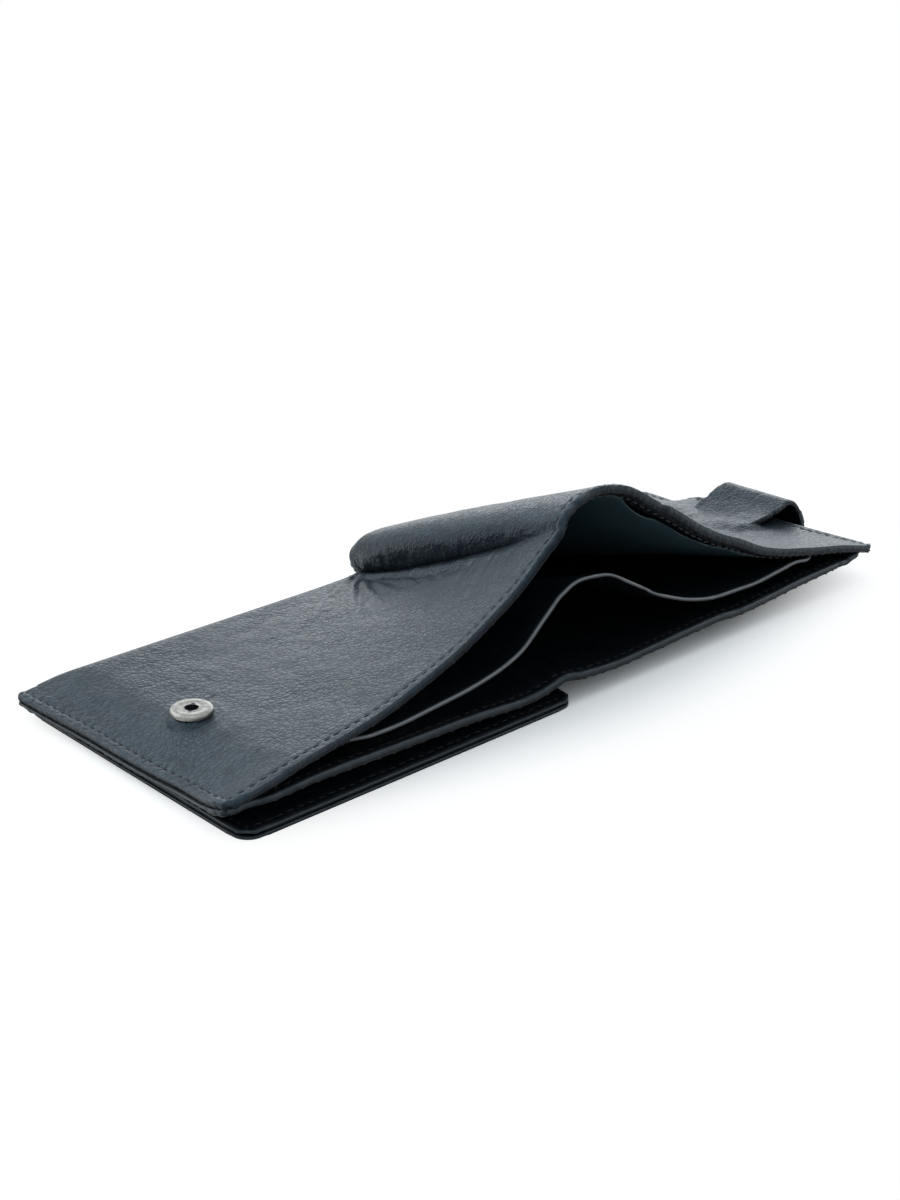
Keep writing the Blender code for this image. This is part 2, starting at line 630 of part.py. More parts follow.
def make_strap():
    tab_end = STRAP_P0[0]

    def upper(column, row):
        x, y, z = lower(column, row)
        return x, y, z + STRAP_THICKNESS

    def lower(column, row):
        x = blend(tab_end - STRAP_TAB, tab_end, column)
        y = blend(strap_near_y(), strap_near_y() + STRAP_WIDTH, row)
        return x, y, cover_height(x, y) + GAP

    sheet("strap_root", upper, lower, even(3), even(3), GRAINED_LEATHER)
    strap_length("strap_lift", STRAP_P0, STRAP_P1, STRAP_ROOT_SETBACK)
    strap_length("strap_turn", STRAP_P1, STRAP_P2, STRAP_SETBACK)
    strap_length("strap_fold", STRAP_P2, STRAP_P3, STRAP_SETBACK)
    y0, y1 = strap_near_y(), strap_near_y() + STRAP_WIDTH
    x0, x1 = STUD_X - STRAP_TIP, STRAP_P3[0] - STRAP_SETBACK
    rounded = rounded_rectangle(x0, x1 + STRAP_END_RADIUS, y0, y1, STRAP_END_RADIUS)
    outline = [(min(x, x1), y) for x, y in rounded if x <= x1] + [(x1, y0), (x1, y1)]
    outline.sort(key=lambda spot: math.atan2(spot[1] - STRAP_MIDDLE, spot[0] - (x0 + x1) / 2))
    end = plate("strap_end", outline, STRAP_END_HEIGHT - STRAP_THICKNESS / 2, STRAP_THICKNESS, GRAINED_LEATHER)
    cut(end, "post_hole_cutter", POST_RADIUS + SNAP_FIT, STUD_X, SNAP_Y, 0, STRAP_END_HEIGHT + STRAP_THICKNESS)


front_cover = make_cover("front")
make_cover("back")
make_ridge("cover_spine", 0, 0, 0, COVER, GRAINED_LEATHER)
make_lining("front")
make_lining("back")
make_ridge("cover_lining_spine", HEM + HEM_CLEARANCE, FAR_INSET, COVER + GAP, LINING, LINING_FABRIC)
make_divider("front")
make_divider("spine")
make_divider("back")
make_inner_panel("front")
make_inner_panel("spine")
make_inner_panel("back")
make_pocket("front_pocket", "front", 0, POCKET_MOUTH, HINGE_STRIP_WIDTH + 3 * GAP)
make_pocket("back_pocket_upper", "back", 0, POCKET_MOUTH, FAR_INSET)
make_pocket("back_pocket_lower", "back", 1, POCKET_MOUTH + POCKET_STEP, FAR_INSET)
make_wing()
make_snap(front_cover)
make_strap()

print("first fold at", place(FRONT_LENGTH, 0, FOLD_HEIGHT), "second fold at", place(SECOND_FOLD, 0, FOLD_HEIGHT))
print("wing hinge at", place(0, HEIGHT + HINGE_OFFSET, WING_TOP + GAP / 2))
for label, bend in (("root", STRAP_P0), ("lift-turn", STRAP_P1), ("turn-fold", STRAP_P2), ("fold-end", STRAP_P3)):
    print("strap bend", label, place(bend[0], STRAP_MIDDLE, bend[1]))
SHUT_TURN_ANGLE = STRAP_TURN_ANGLE - STRAP_LIFT_ANGLE
SHUT_FOLD_ANGLE = -math.pi / 2 - STRAP_SHUT_LEAN
REST_BENDS = (STRAP_LIFT_ANGLE, STRAP_FOLD_ANGLE - STRAP_TURN_ANGLE, -math.pi - STRAP_FOLD_ANGLE)
SHUT_BENDS = (0.0, SHUT_FOLD_ANGLE - SHUT_TURN_ANGLE, -math.pi - SHUT_FOLD_ANGLE)
print("strap turns when shut, degrees about +Y:", [math.degrees(a - b) for a, b in zip(REST_BENDS, SHUT_BENDS)])
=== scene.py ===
import json
import math

import bmesh
import bpy
from mathutils import Matrix, Vector, noise


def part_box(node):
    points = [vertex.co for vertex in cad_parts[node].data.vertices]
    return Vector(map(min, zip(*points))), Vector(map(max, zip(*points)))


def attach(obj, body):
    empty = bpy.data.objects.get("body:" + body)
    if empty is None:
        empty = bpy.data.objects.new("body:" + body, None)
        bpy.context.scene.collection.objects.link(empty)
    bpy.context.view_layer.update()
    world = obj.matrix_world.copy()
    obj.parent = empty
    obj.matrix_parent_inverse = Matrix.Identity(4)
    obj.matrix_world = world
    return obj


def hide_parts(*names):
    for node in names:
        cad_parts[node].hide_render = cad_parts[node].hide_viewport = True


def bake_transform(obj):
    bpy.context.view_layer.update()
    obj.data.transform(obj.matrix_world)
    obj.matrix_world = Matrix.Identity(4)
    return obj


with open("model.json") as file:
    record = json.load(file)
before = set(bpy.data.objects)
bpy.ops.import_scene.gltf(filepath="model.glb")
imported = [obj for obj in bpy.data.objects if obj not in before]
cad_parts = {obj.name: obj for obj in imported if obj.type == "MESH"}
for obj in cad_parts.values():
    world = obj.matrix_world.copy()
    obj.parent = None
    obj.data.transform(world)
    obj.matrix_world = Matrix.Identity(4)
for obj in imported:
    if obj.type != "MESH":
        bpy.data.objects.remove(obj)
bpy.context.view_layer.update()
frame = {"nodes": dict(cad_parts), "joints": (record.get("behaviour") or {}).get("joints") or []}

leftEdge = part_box("cover_front")[0].x
print("wallet: frame loaded")

# Shape of the open wallet: x from the left short edge, y from the mouth, z from the table, in metres
wallet = {
    "height": 0.095,
    "frontLength": 0.1145,
    "backOverhang": 0.0025,
    "backSkew": 0.003,
    "spineWidth": 0.0102,
    "mouthRise": 0.051,
    "coverTop": 0.0091,
    "panelTop": 0.0056,
    "panelRise": 0.0052,
    "leftRadii": (0.0045, 0.0018),
    "rightRadii": (0.003, 0.003),
    "leftPull": (-0.0019, 0.0019),
    "leftPullReach": (0.02, 0.016),
    "nearPull": (0.028, 0.02),
    "farPull": 0.75,
    "farPullStart": 0.06,
    "rightPull": 0.006,
    "rightPullReach": (0.024, 0.03),
    "sewn": 0.0021,
    "pocketRoom": 0.0034,
    "sagReach": 0.021,
    "roll": 60.0,
    "rollStart": 0.0901,
    "sideInset": (0.006, 0.0145),
    "sideInsetRun": 0.03,
    "steepness": 0.45,
    "creaseFar": 0.0004,
    "creaseSweep": 0.0105,
    "footFar": 0.0033,
    "footNear": 0.013,
    "ridgeHeight": 0.0107,
    "ridgeRoll": 0.7,
    "frontFade": (2.6, 1.17),
    "backFade": (1.1, 3.0),
    "panelFade": 2.6,
}
closedY = wallet["height"]
secondFold = wallet["frontLength"] + wallet["spineWidth"]
fullLength = secondFold + wallet["frontLength"] + wallet["backOverhang"]
spineMiddle = wallet["frontLength"] + wallet["spineWidth"] / 2

# Curves: share of the length, share of the rise
frontRise = ((0.0, 0.05), (0.09, 0.095), (0.178, 0.137), (0.293, 0.176), (0.418, 0.225), (0.544, 0.306),
             (0.668, 0.404), (0.793, 0.537), (0.86, 0.62), (0.928, 0.73), (1.0, 0.845))
backRise = ((0.0, 0.859), (0.126, 0.688), (0.203, 0.578), (0.29, 0.475), (0.377, 0.392), (0.464, 0.3),
            (0.551, 0.235), (0.647, 0.186), (0.734, 0.145), (0.831, 0.104), (0.927, 0.066), (1.0, 0.035))
panelRise = ((0.0, 0.6), (0.052, 0.85), (0.105, 0.98), (0.205, 0.87), (0.314, 0.71), (0.373, 0.5),
             (0.403, 0.5), (0.438, 0.82), (0.45, 0.85), (0.472, 0.65), (0.532, 0.45), (0.581, 0.48),
             (0.7, 0.52), (0.74, 0.34), (0.81, 0.44), (0.849, 0.56), (0.929, 0.6), (0.968, 0.42), (1.0, 0.2))
dividerShare = ((0.0, 0.0), (0.031, 0.3), (0.077, 0.64), (0.134, 1.0), (0.172, 0.75), (0.205, 0.545),
                (0.259, 0.45), (0.317, 0.4), (0.375, 0.45), (0.404, 0.546), (0.433, 0.61), (0.457, 0.67),
                (0.478, 0.675), (0.511, 0.638), (0.541, 0.535), (0.577, 0.41), (0.611, 0.35), (0.644, 0.3),
                (0.697, 0.26), (0.735, 0.33), (0.772, 0.42), (0.81, 0.64), (0.847, 0.92), (0.899, 1.0),
                (1.0, 1.0))
# How far the cover sags at its left edge, in millimetres, along the height
leftSag = ((0.0, 0.2), (0.03, 0.5), (0.13, 2.3), (0.28, 3.2), (0.43, 3.45), (0.72, 3.1), (1.0, 2.6))
# How much of the droop is left, along its run from the right short edge
droopShare = ((0.0, 1.0), (0.08, 0.85), (0.15, 0.62), (0.24, 0.42), (0.4, 0.22), (0.64, 0.08), (1.0, 0.0))
# Ridge outline at the mouth (x, z), at the closed edge (x, z), and how the height fades between them
ridgeOutline = ((0.0, 0.845, 0.0, 0.0, 1.17), (0.03, 0.9, -0.15, 0.38, 1.12), (0.11, 0.945, -0.2, 0.72, 1.05),
                (0.22, 0.977, -0.06, 0.94, 0.97), (0.4, 1.0, 0.25, 1.0, 0.93), (0.62, 0.98, 0.75, 0.97, 0.95),
                (0.82, 0.93, 1.05, 0.6, 1.03), (1.0, 0.859, 1.0, 0.0, 1.1))


def place(x, y, z):
    return Vector((x + leftEdge, y - closedY / 2, z))


def placedBox(node):
    # A CAD node's left, right, near and far edges, its underside and its top, counted as the sheets are
    low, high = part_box(node)
    return low.x - leftEdge, high.x - leftEdge, low.y + closedY / 2, high.y + closedY / 2, low.z, high.z


def bumps(x, y, seed):
    return noise.noise(Vector((x, y, seed)))


def mix(start, end, share):
    return start + (end - start) * share


def ease(value, start, end):
    t = min(max((value - start) / (end - start), 0.0), 1.0)
    return t * t * (3 - 2 * t)


def fade(value, start, end):
    return 1 - ease(value, start, end)


def hump(value, middle, width):
    return math.exp(-((value - middle) / width) ** 2)


def follow(table, share):
    last = len(table) - 1
    share = min(max(share, table[0][0]), table[last][0])
    i = max(k for k in range(last) if table[k][0] <= share)
    before, start, end, after = (table[min(max(k, 0), last)] for k in (i - 1, i, i + 1, i + 2))
    span = end[0] - start[0]
    t = (share - start[0]) / span
    slopeIn = (end[1] - before[1]) / (end[0] - before[0]) * span
    slopeOut = (after[1] - start[1]) / (after[0] - start[0]) * span
    return ((2 * t**3 - 3 * t**2 + 1) * start[1] + (t**3 - 2 * t**2 + t) * slopeIn
            + (3 * t**2 - 2 * t**3) * end[1] + (t**3 - t**2) * slopeOut)


def nearness(y):
    # One at the mouth, nothing at the closed edge
    return max(1 - y / closedY, 0.0)


def backEnd(y):
    return fullLength - wallet["backSkew"] * (1 - nearness(y))


def frontEnd(y):
    return wallet["frontLength"] + mix(wallet["creaseFar"], -wallet["creaseSweep"], nearness(y))


def backStart(y):
    return secondFold + mix(wallet["footFar"], wallet["footNear"], nearness(y))


# The right half rises from its fold, dips at its short edge and droops beyond the strap
lifted = {"rise": 0.0014, "riseRun": 0.077, "dip": 0.0012, "dipRun": 0.02, "droop": 0.0045, "droopRun": 0.05,
          "droopStart": 0.066, "droopFull": 0.08}


def backLift(x, y):
    inside = backEnd(y) - x
    rise = lifted["rise"] * ease(x, secondFold, secondFold + lifted["riseRun"])
    dip = lifted["dip"] * fade(inside, 0, lifted["dipRun"])
    droop = lifted["droop"] * follow(droopShare, inside / lifted["droopRun"])
    return rise - dip - droop * ease(y, lifted["droopStart"], lifted["droopFull"])


def farRoll(y):
    # The closed edge is rolled down onto the panel
    return wallet["roll"] * max(y - wallet["rollStart"], 0.0) ** 2


def leftDrop(x, y):
    # The sewn left edge is pressed together, apart from its near corner
    sag = 0.001 * follow(leftSag, y / closedY) * fade(x, 0, wallet["sagReach"])
    return (sag ** 3 + farRoll(y) ** 3) ** (1 / 3)


def sideInset(y):
    # The lining and the divider stay clear of the pressed short edges
    return mix(*wallet["sideInset"], ease(y, 0.0, wallet["sideInsetRun"]))


def frontCoverHeight(x, y):
    share = x / frontEnd(y)
    rise = wallet["mouthRise"] * follow(frontRise, share) * nearness(y) ** mix(*wallet["frontFade"], share)
    return wallet["coverTop"] + rise - leftDrop(x, y)


def backCoverHeight(x, y):
    share = (x - backStart(y)) / (backEnd(y) - backStart(y))
    rise = wallet["mouthRise"] * follow(backRise, share) * nearness(y) ** mix(*wallet["backFade"], share)
    return wallet["coverTop"] + backLift(x, y) + rise - farRoll(y)


def coverHeight(x, y):
    left, right = frontEnd(y), backStart(y)
    if x <= left:
        return frontCoverHeight(x, y)
    if x >= right:
        return backCoverHeight(x, y)
    return mix(frontCoverHeight(left, y), backCoverHeight(right, y), (x - left) / (right - left))


def lean(x, y):
    left, right = frontEnd(y), backStart(y)
    share = x / left if x < left else (backEnd(y) - x) / (backEnd(y) - right) if x > right else 1.0
    return 1 + wallet["steepness"] * share * nearness(y)


def ridgeSpot(column, y):
    left, right = frontEnd(y), backStart(y)
    mouthX, mouthZ, closedX, closedZ, power = (
        follow([(k / 7, row[index]) for k, row in enumerate(ridgeOutline)], column) for index in range(5))
    x = left + (right - left) * mix(closedX, mouthX, nearness(y))
    rise = mix(wallet["ridgeHeight"] * closedZ, wallet["mouthRise"] * mouthZ, nearness(y) ** power)
    return x, wallet["coverTop"] + rise - farRoll(y) * (1 + wallet["ridgeRoll"] * closedZ)


# Both short edges of the inner panel are sewn to the cover, and next to them the cover leaves less room
panelEnds = {"corner": 0.0008, "cornerRun": 0.012, "reach": 0.03, "room": (0.003, 0.012),
             "farRoom": (0.08, 0.088), "leftSewn": 0.0085, "rightSewn": 0.011}


def panelHeight(x, y):
    rise = wallet["panelRise"] * follow(panelRise, x / fullLength) * nearness(y) ** wallet["panelFade"]
    rise += panelEnds["corner"] * fade(x, 0, panelEnds["cornerRun"]) * nearness(y) ** 3
    own = wallet["panelTop"] + backLift(x, y) + rise
    if x < panelEnds["reach"]:
        cover = frontCoverHeight(x, y)
        inner = ease(x, *panelEnds["room"]) * fade(y, *panelEnds["farRoom"])
        own = min(own, cover - mix(wallet["sewn"], wallet["pocketRoom"], inner))
        return mix(own, cover - wallet["sewn"], fade(x, 0, panelEnds["leftSewn"]))
    inside = backEnd(y) - x
    if inside < panelEnds["rightSewn"]:
        return mix(own, backCoverHeight(x, y) - wallet["sewn"], fade(inside, 0, panelEnds["rightSewn"]))
    return own


allEdges = ("left", "right", "near", "far")
leftOpen, rightOpen = ("left", "near", "far"), ("near", "right", "far")

# Seams: the stitched line beside a turned edge
seam = {
    "inset": 0.0028,
    "endRoom": 0.0004,
    "pitch": 0.0032,
    "length": 0.0021,
    "width": 0.00052,
    "height": 0.0005,
    "proud": 0.00003,
    "slant": 0.16,
    "reach": 0.007,
    "dip": 0.00032,
    "dipWidth": 0.00055,
    "puff": 0.0002,
    "puffWidth": 0.0008,
}


def seamRelief(distance, phase):
    # The leather dips under the stitches and puffs up between them, most on the side of the edge
    if distance > seam["reach"]:
        return 0.0
    dip = seam["dip"] * hump(distance, seam["inset"], seam["dipWidth"]) * (0.6 + 0.4 * phase)
    outer = hump(distance, seam["inset"] * 0.5, seam["puffWidth"]) * (0.7 - 0.5 * phase)
    inner = hump(distance, seam["inset"] * 1.6, seam["puffWidth"] * 1.125) * (0.6 - 0.4 * phase)
    return seam["puff"] * (outer + 0.3 * inner) - dip


def lanes(low, high, step, lowOpen=False, highOpen=False):
    # Grid lines a step apart, and closer together beside an open edge
    beside = [0.0012, 0.0017, 0.0022, 0.0026, 0.003, 0.0034, 0.0039, 0.0046]
    start = [low] + ([low + d for d in beside] if lowOpen else [])
    end = ([high - d for d in reversed(beside)] if highOpen else []) + [high]
    count = max(round((end[0] - start[-1]) / step), 1)
    return start + [mix(start[-1], end[0], k / count) for k in range(1, count)] + end


def roundCorners(x, y, ends, depths, radii):
    # Corners between the given ends; an end that is None stays square
    for cornerX, inX in zip(ends, (1, -1)):
        for cornerY, inY, radius in zip(depths, (1, -1), radii):
            if cornerX is None or cornerY is None:
                continue
            a, b = radius - (x - cornerX) * inX, radius - (y - cornerY) * inY
            if a > 0 and b > 0:
                factor = max(a, b) / math.hypot(a, b)
                return cornerX + inX * (radius - a * factor), cornerY + inY * (radius - b * factor)
    return x, y


def leftCorners(x, y):
    # Both left corners stand out a little, and the near one is drawn in along the edge
    x, y = roundCorners(x, y, (0, None), (0, closedY), wallet["leftRadii"])
    (pullX, pullY), (reachX, reachY), (runX, runY) = (wallet[key] for key in (
        "leftPull", "leftPullReach", "nearPull"))
    ends = fade(y, 0, runX) + wallet["farPull"] * ease(y, wallet["farPullStart"], closedY)
    return x + pullX * fade(x, 0, reachX) * ends, y + pullY * fade(x, 0, reachY) * fade(y, 0, runY)


def measure(grid, marks, others, across):
    # Length along the leather from the grid's first line to each point, and on the flat where a hole is cut
    lengths = {}
    for other in range(others):
        total = 0.0
        for k, mark in enumerate(marks):
            key, before = ((k, other), (k - 1, other)) if across else ((other, k), (other, k - 1))
            if key in grid and before in grid:
                total += (grid[key].co - grid[before].co).length
            elif k:
                total += mark - marks[k - 1]
            lengths[key] = total
    return lengths


def makeSheet(name, sheet, surface, *nodes, **ways):
    # A leather cut as a grid, laid on its surface, sewn at its seams, then given thickness and rounded edges
    columns, rows = sheet["columns"], sheet["rows"]
    lastColumn, lastRow = len(columns) - 1, len(rows) - 1
    mesh = bmesh.new()
    uvLayer = mesh.loops.layers.uv.new("leather")
    rimLayer, underLayer = mesh.verts.layers.float.new("rim"), mesh.verts.layers.float.new("under")
    crumpleLayer = mesh.verts.layers.float.new("crumple") if "crumple" in sheet else None
    columnLayer, rowLayer = mesh.verts.layers.int.new("column"), mesh.verts.layers.int.new("row")
    bmesh.ops.create_grid(mesh, x_segments=lastColumn, y_segments=lastRow, size=0.5)
    width = max(vert.co.x for vert in mesh.verts) * 2
    grid = {}
    for vert in mesh.verts:
        i, j = round((vert.co.x / width + 0.5) * lastColumn), round((vert.co.y / width + 0.5) * lastRow)
        vert[columnLayer], vert[rowLayer] = i, j
        vert.co = sheet["spot"](columns[i], rows[j])
        grid[i, j] = vert
    for low, high, rounds in sheet.get("smooth", ()):
        band = [vert for (i, j), vert in grid.items() if low < columns[i] < high]
        for _ in range(rounds):
            bmesh.ops.smooth_vert(mesh, verts=band, factor=0.5, use_axis_x=True, use_axis_z=True)
    if "hole" in sheet:
        x0, x1, y0, y1 = sheet["hole"]
        inside = [face for face in mesh.faces if all(
            x0 - 1e-6 <= columns[v[columnLayer]] <= x1 + 1e-6 and y0 - 1e-6 <= rows[v[rowLayer]] <= y1 + 1e-6
            for v in face.verts)]
        bmesh.ops.delete(mesh, geom=inside, context="FACES")
        grid = {(v[columnLayer], v[rowLayer]): v for v in mesh.verts}

    across, deep = measure(grid, columns, lastRow + 1, True), measure(grid, rows, lastColumn + 1, False)
    distance = {
        "left": across, "near": deep,
        "right": {key: across[lastColumn, key[1]] - value for key, value in across.items()},
        "far": {key: deep[key[0], lastRow] - value for key, value in deep.items()},
    }
    openEdges, seams = sheet["open"], sheet.get("seams", ())
    mesh.normal_update()
    normals = {key: vert.normal.copy() for key, vert in grid.items()}
    mitre = sheet.get("mitre")
    if mitre:
        column, direction = (lastColumn, mitre[1]) if mitre[0] == "right" else (0, mitre[1])
        normals.update({(column, j): direction(rows[j]) for j in range(lastRow + 1)})

    def isOn(edge, i, j):
        return {"left": i == 0, "right": i == lastColumn, "near": j == 0, "far": j == lastRow}[edge]

    def seamSpot(before, after, share):
        return grid[before].co.lerp(grid[after].co, share)

    def seamLine(edge):
        # Where the needle goes: two points of the grid, how far between them, and the length so far
        along = edge in ("left", "right")
        line, total, found = [], 0.0, None
        for k in range((lastRow if along else lastColumn) + 1):
            others = [(m, k) if along else (k, m) for m in range((lastColumn if along else lastRow) + 1)]
            if edge in ("right", "far"):
                others.reverse()
            for before, after in zip(others, others[1:]):
                low, high = distance[edge][before], distance[edge][after]
                if high >= seam["inset"] > low:
                    found = (before, after, (seam["inset"] - low) / (high - low))
                    break
            if line:
                total += (seamSpot(*found) - seamSpot(*line[-1][:3])).length
            line.append((*found, total))
        return line

    def starts(edge):
        pair = ("near", "far") if edge in ("left", "right") else ("left", "right")
        return [seam["inset"] if other in seams else 0.0 for other in pair]

    lines = {edge: seamLine(edge) for edge in seams}
    lifts, farFromRim = {}, 0.02
    for (i, j), vert in grid.items():
        vert[rimLayer] = min([distance[edge][i, j] for edge in openEdges] + [farFromRim])
        if crumpleLayer:
            vert[crumpleLayer] = sheet["crumple"](columns[i], rows[j])
        lift = sheet["relief"](columns[i], rows[j]) if "relief" in sheet else 0.0
        for edge in seams:
            running = lines[edge][j if edge in ("left", "right") else i][3] - starts(edge)[0]
            phase = 0.0 if mitre and i == column else math.cos(math.tau * running / seam["pitch"])
            lift += seamRelief(distance[edge][i, j], phase)
        lifts[i, j] = lift
    for key, lift in lifts.items():
        grid[key].co += normals[key] * lift

    stitches = []
    for edge in seams:
        line, (before, after), k = lines[edge], starts(edge), 0
        running = before + (seam["pitch"] if before else 0.0)
        while running < line[-1][3] - after - seam["endRoom"]:
            while line[k + 1][3] < running:
                k += 1
            share = (running - line[k][3]) / (line[k + 1][3] - line[k][3])
            start, end = seamSpot(*line[k][:3]), seamSpot(*line[k + 1][:3])
            normal = normals[line[k][0]].normalized()
            stitches.append((start.lerp(end, share), (end - start).normalized(), normal))
            running += seam["pitch"]

    for face in mesh.faces:
        for loop in face.loops:
            key = (loop.vert[columnLayer], loop.vert[rowLayer])
            loop[uvLayer].uv = (across[key], deep[key])
    mesh.normal_update()
    outward = {key: vert.normal.copy() for key, vert in grid.items()}
    if mitre:
        outward.update({(column, j): normals[column, j] for j in range(lastRow + 1)})
    thickness = sheet["thickness"]
    pushed = bmesh.ops.extrude_face_region(mesh, geom=mesh.faces[:])
    lower = {item for item in pushed["geom"] if isinstance(item, bmesh.types.BMVert)}
    rimEdges = set()
    for vert in lower:
        i, j = key = (vert[columnLayer], vert[rowLayer])
        depth = thickness
        if callable(thickness):
            depth = thickness({edge: distance[edge][key] for edge in openEdges}, columns[i])
        vert.co -= outward[key] * depth
        vert[underLayer] = 1.0
        for edge in openEdges:
            if isOn(edge, i, j):
                axis, length = (0, across[key]) if edge in ("left", "right") else (1, deep[key])
                for loop in vert.link_loops:
                    loop[uvLayer].uv[axis] = -depth if edge in ("left", "near") else length + depth
    for face in mesh.faces:
        kinds = {vert in lower for vert in face.verts}
        if len(kinds) < 2:
            continue
        spots = [(vert[columnLayer], vert[rowLayer]) for vert in face.verts]
        at = [edge for edge in allEdges if all(isOn(edge, i, j) for i, j in spots)]
        if any(edge in openEdges for edge in at) or ("hole" in sheet and not at):
            rimEdges.update(edge for edge in face.edges if len({vert in lower for vert in edge.verts}) == 1)
    if rimEdges:
        bmesh.ops.bevel(mesh, geom=list(rimEdges), offset=sheet["round"], offset_type="OFFSET",
                        segments=sheet["steps"], profile=0.5, affect="EDGES", clamp_overlap=False,
                        material=-1)
    bmesh.ops.recalc_face_normals(mesh, faces=mesh.faces)
    made = [finishMesh(name, mesh, surface)]
    if stitches:
        made.append(makeStitches(name + "Stitches", stitches, sheet.get("thickBelow")))
    settle(made, *nodes, **ways)


def finishMesh(name, mesh, surface, angle=50):
    data = bpy.data.meshes.new(name)
    mesh.to_mesh(data)
    mesh.free()
    data.shade_smooth()
    data.set_sharp_from_angle(angle=math.radians(angle))
    data.materials.append(surface)
    made = bpy.data.objects.new(name, data)
    bpy.context.scene.collection.objects.link(made)
    return made


def makeStitches(name, spots, below=None):
    mesh = bmesh.new()
    for spot, direction, normal in spots:
        aside = direction.cross(normal).normalized()
        slanted = (direction + aside * seam["slant"]).normalized()
        aside = slanted.cross(normal).normalized()
        heights = [seam["proud"]] + ([-below - seam["proud"]] if below else [])
        for height in heights:
            middle = spot + normal * height
            turn = Matrix((aside, slanted, normal)).transposed().to_4x4()
            size = Matrix.Diagonal((seam["width"] / 2, seam["length"] / 2, seam["height"] / 2, 1))
            bmesh.ops.create_uvsphere(mesh, u_segments=6, v_segments=4, radius=1,
                                      matrix=Matrix.Translation(middle) @ turn @ size)
    return finishMesh(name, mesh, thread)


# Shared effects
def newGroup(name, inputs, outputs):
    group = bpy.data.node_groups.new(name, "ShaderNodeTree")
    for label, kind, value in inputs:
        socket = group.interface.new_socket(name=label, in_out="INPUT", socket_type=kind)
        if value is not None:
            socket.default_value = value
    for label in outputs:
        group.interface.new_socket(name=label, in_out="OUTPUT", socket_type="NodeSocketFloat")
    return group, group.nodes.new("NodeGroupInput").outputs, group.nodes.new("NodeGroupOutput")


def setInputs(tree, node, inputs):
    for key, value in inputs.items():
        if isinstance(value, bpy.types.NodeSocket):
            tree.links.new(value, node.inputs[key])
        else:
            node.inputs[key].default_value = value


def addNode(tree, kind, inputs=None, **settings):
    node = tree.nodes.new(kind)
    for key, value in settings.items():
        setattr(node, key, value)
    setInputs(tree, node, inputs or {})
    return node


def addMath(tree, operation, first, second):
    return addNode(tree, "ShaderNodeMath", {0: first, 1: second}, operation=operation).outputs[0]


def addVector(tree, operation, first, second):
    return addNode(tree, "ShaderNodeVectorMath", {0: first, 1: second}, operation=operation).outputs[0]


def addNoise(tree, spots, scale, detail=2.0, roughness=0.5, output="Fac"):
    inputs = {"Vector": spots, "Scale": scale, "Detail": detail, "Roughness": roughness}
    return addNode(tree, "ShaderNodeTexNoise", inputs).outputs[output]


def addRange(tree, value, fromMin=0.0, fromMax=1.0, toMin=0.0, toMax=1.0, kind="LINEAR"):
    inputs = {"Value": value, "From Min": fromMin, "From Max": fromMax, "To Min": toMin, "To Max": toMax}
    return addNode(tree, "ShaderNodeMapRange", inputs, interpolation_type=kind).outputs[0]


def addBump(tree, strength, depth, height):
    inputs = {"Strength": strength, "Distance": depth, "Height": height}
    return addNode(tree, "ShaderNodeBump", inputs).outputs["Normal"]


def mixColours(tree, share, first, second):
    first, second = (one if isinstance(one, bpy.types.NodeSocket) else (*one, 1.0) for one in (first, second))
    return addNode(tree, "ShaderNodeMix", {0: share, 6: first, 7: second}, data_type="RGBA").outputs[2]


def readLayer(tree, name):
    return addNode(tree, "ShaderNodeAttribute", attribute_name=name).outputs["Fac"]


def objectSpots(tree):
    return addNode(tree, "ShaderNodeTexCoord").outputs["Object"]


def buildGrain():
    # Pebbled grain: rounded cells with sunk lines between them, over slow swells of the hide
    group, source, target = newGroup(
        "hideGrain", [("Vector", "NodeSocketVector", None), ("Cells", "NodeSocketFloat", 1100.0),
                      ("Swell", "NodeSocketFloat", 160.0)], ("Height", "Swells", "Lines"))
    wander = addNoise(group, source["Vector"], 420.0, output="Color")
    centred = addVector(group, "SUBTRACT", wander, (0.5, 0.5, 0.5))
    moved = addVector(group, "ADD", source["Vector"], addVector(group, "MULTIPLY", centred, (0.0011,) * 3))
    spread = {"Vector": moved, "Scale": source["Cells"]}
    cells = addNode(group, "ShaderNodeTexVoronoi", {**spread, "Smoothness": 0.6}, feature="SMOOTH_F1")
    lines = addNode(group, "ShaderNodeTexVoronoi", spread, feature="DISTANCE_TO_EDGE")
    sunk = addRange(group, lines.outputs["Distance"], fromMax=0.16)
    swell = addNoise(group, source["Vector"], source["Swell"], 3.0, 0.55)
    dome = addMath(group, "MULTIPLY", addMath(group, "SUBTRACT", 1.0, cells.outputs["Distance"]), 0.45)
    pebbles = addMath(group, "ADD", dome, addMath(group, "MULTIPLY", sunk, 0.35))
    height = addMath(group, "ADD", pebbles, addMath(group, "MULTIPLY", swell, 1.5))
    setInputs(group, target, {"Height": height, "Swells": swell, "Lines": sunk})
    return group


def buildWearAndSheen():
    # Rubbed edges with a painted sheen along them: strongest at the rim, broken up by noise
    group, source, target = newGroup(
        "rubbedAndSheenEdge", [("Vector", "NodeSocketVector", None), ("Rim", "NodeSocketFloat", 1.0),
                       ("Reach", "NodeSocketFloat", 0.0012), ("Even", "NodeSocketFloat", 0.0)], ("WearAndSheen",))
    near = addRange(group, source["Rim"], 0.0, source["Reach"], 1.0, 0.0, "SMOOTHSTEP")
    broken = addRange(group, addNoise(group, source["Vector"], 260.0, 4.0), 0.35, 0.7, source["Even"])
    setInputs(group, target, {"WearAndSheen": addMath(group, "MULTIPLY", near, broken)})
    return group


grain, rubbedAndSheen = buildGrain(), buildWearAndSheen()


def newMaterial(name):
    made = bpy.data.materials.new(name)
    made.use_nodes = True
    return made, made.node_tree, made.node_tree.nodes["Principled BSDF"]


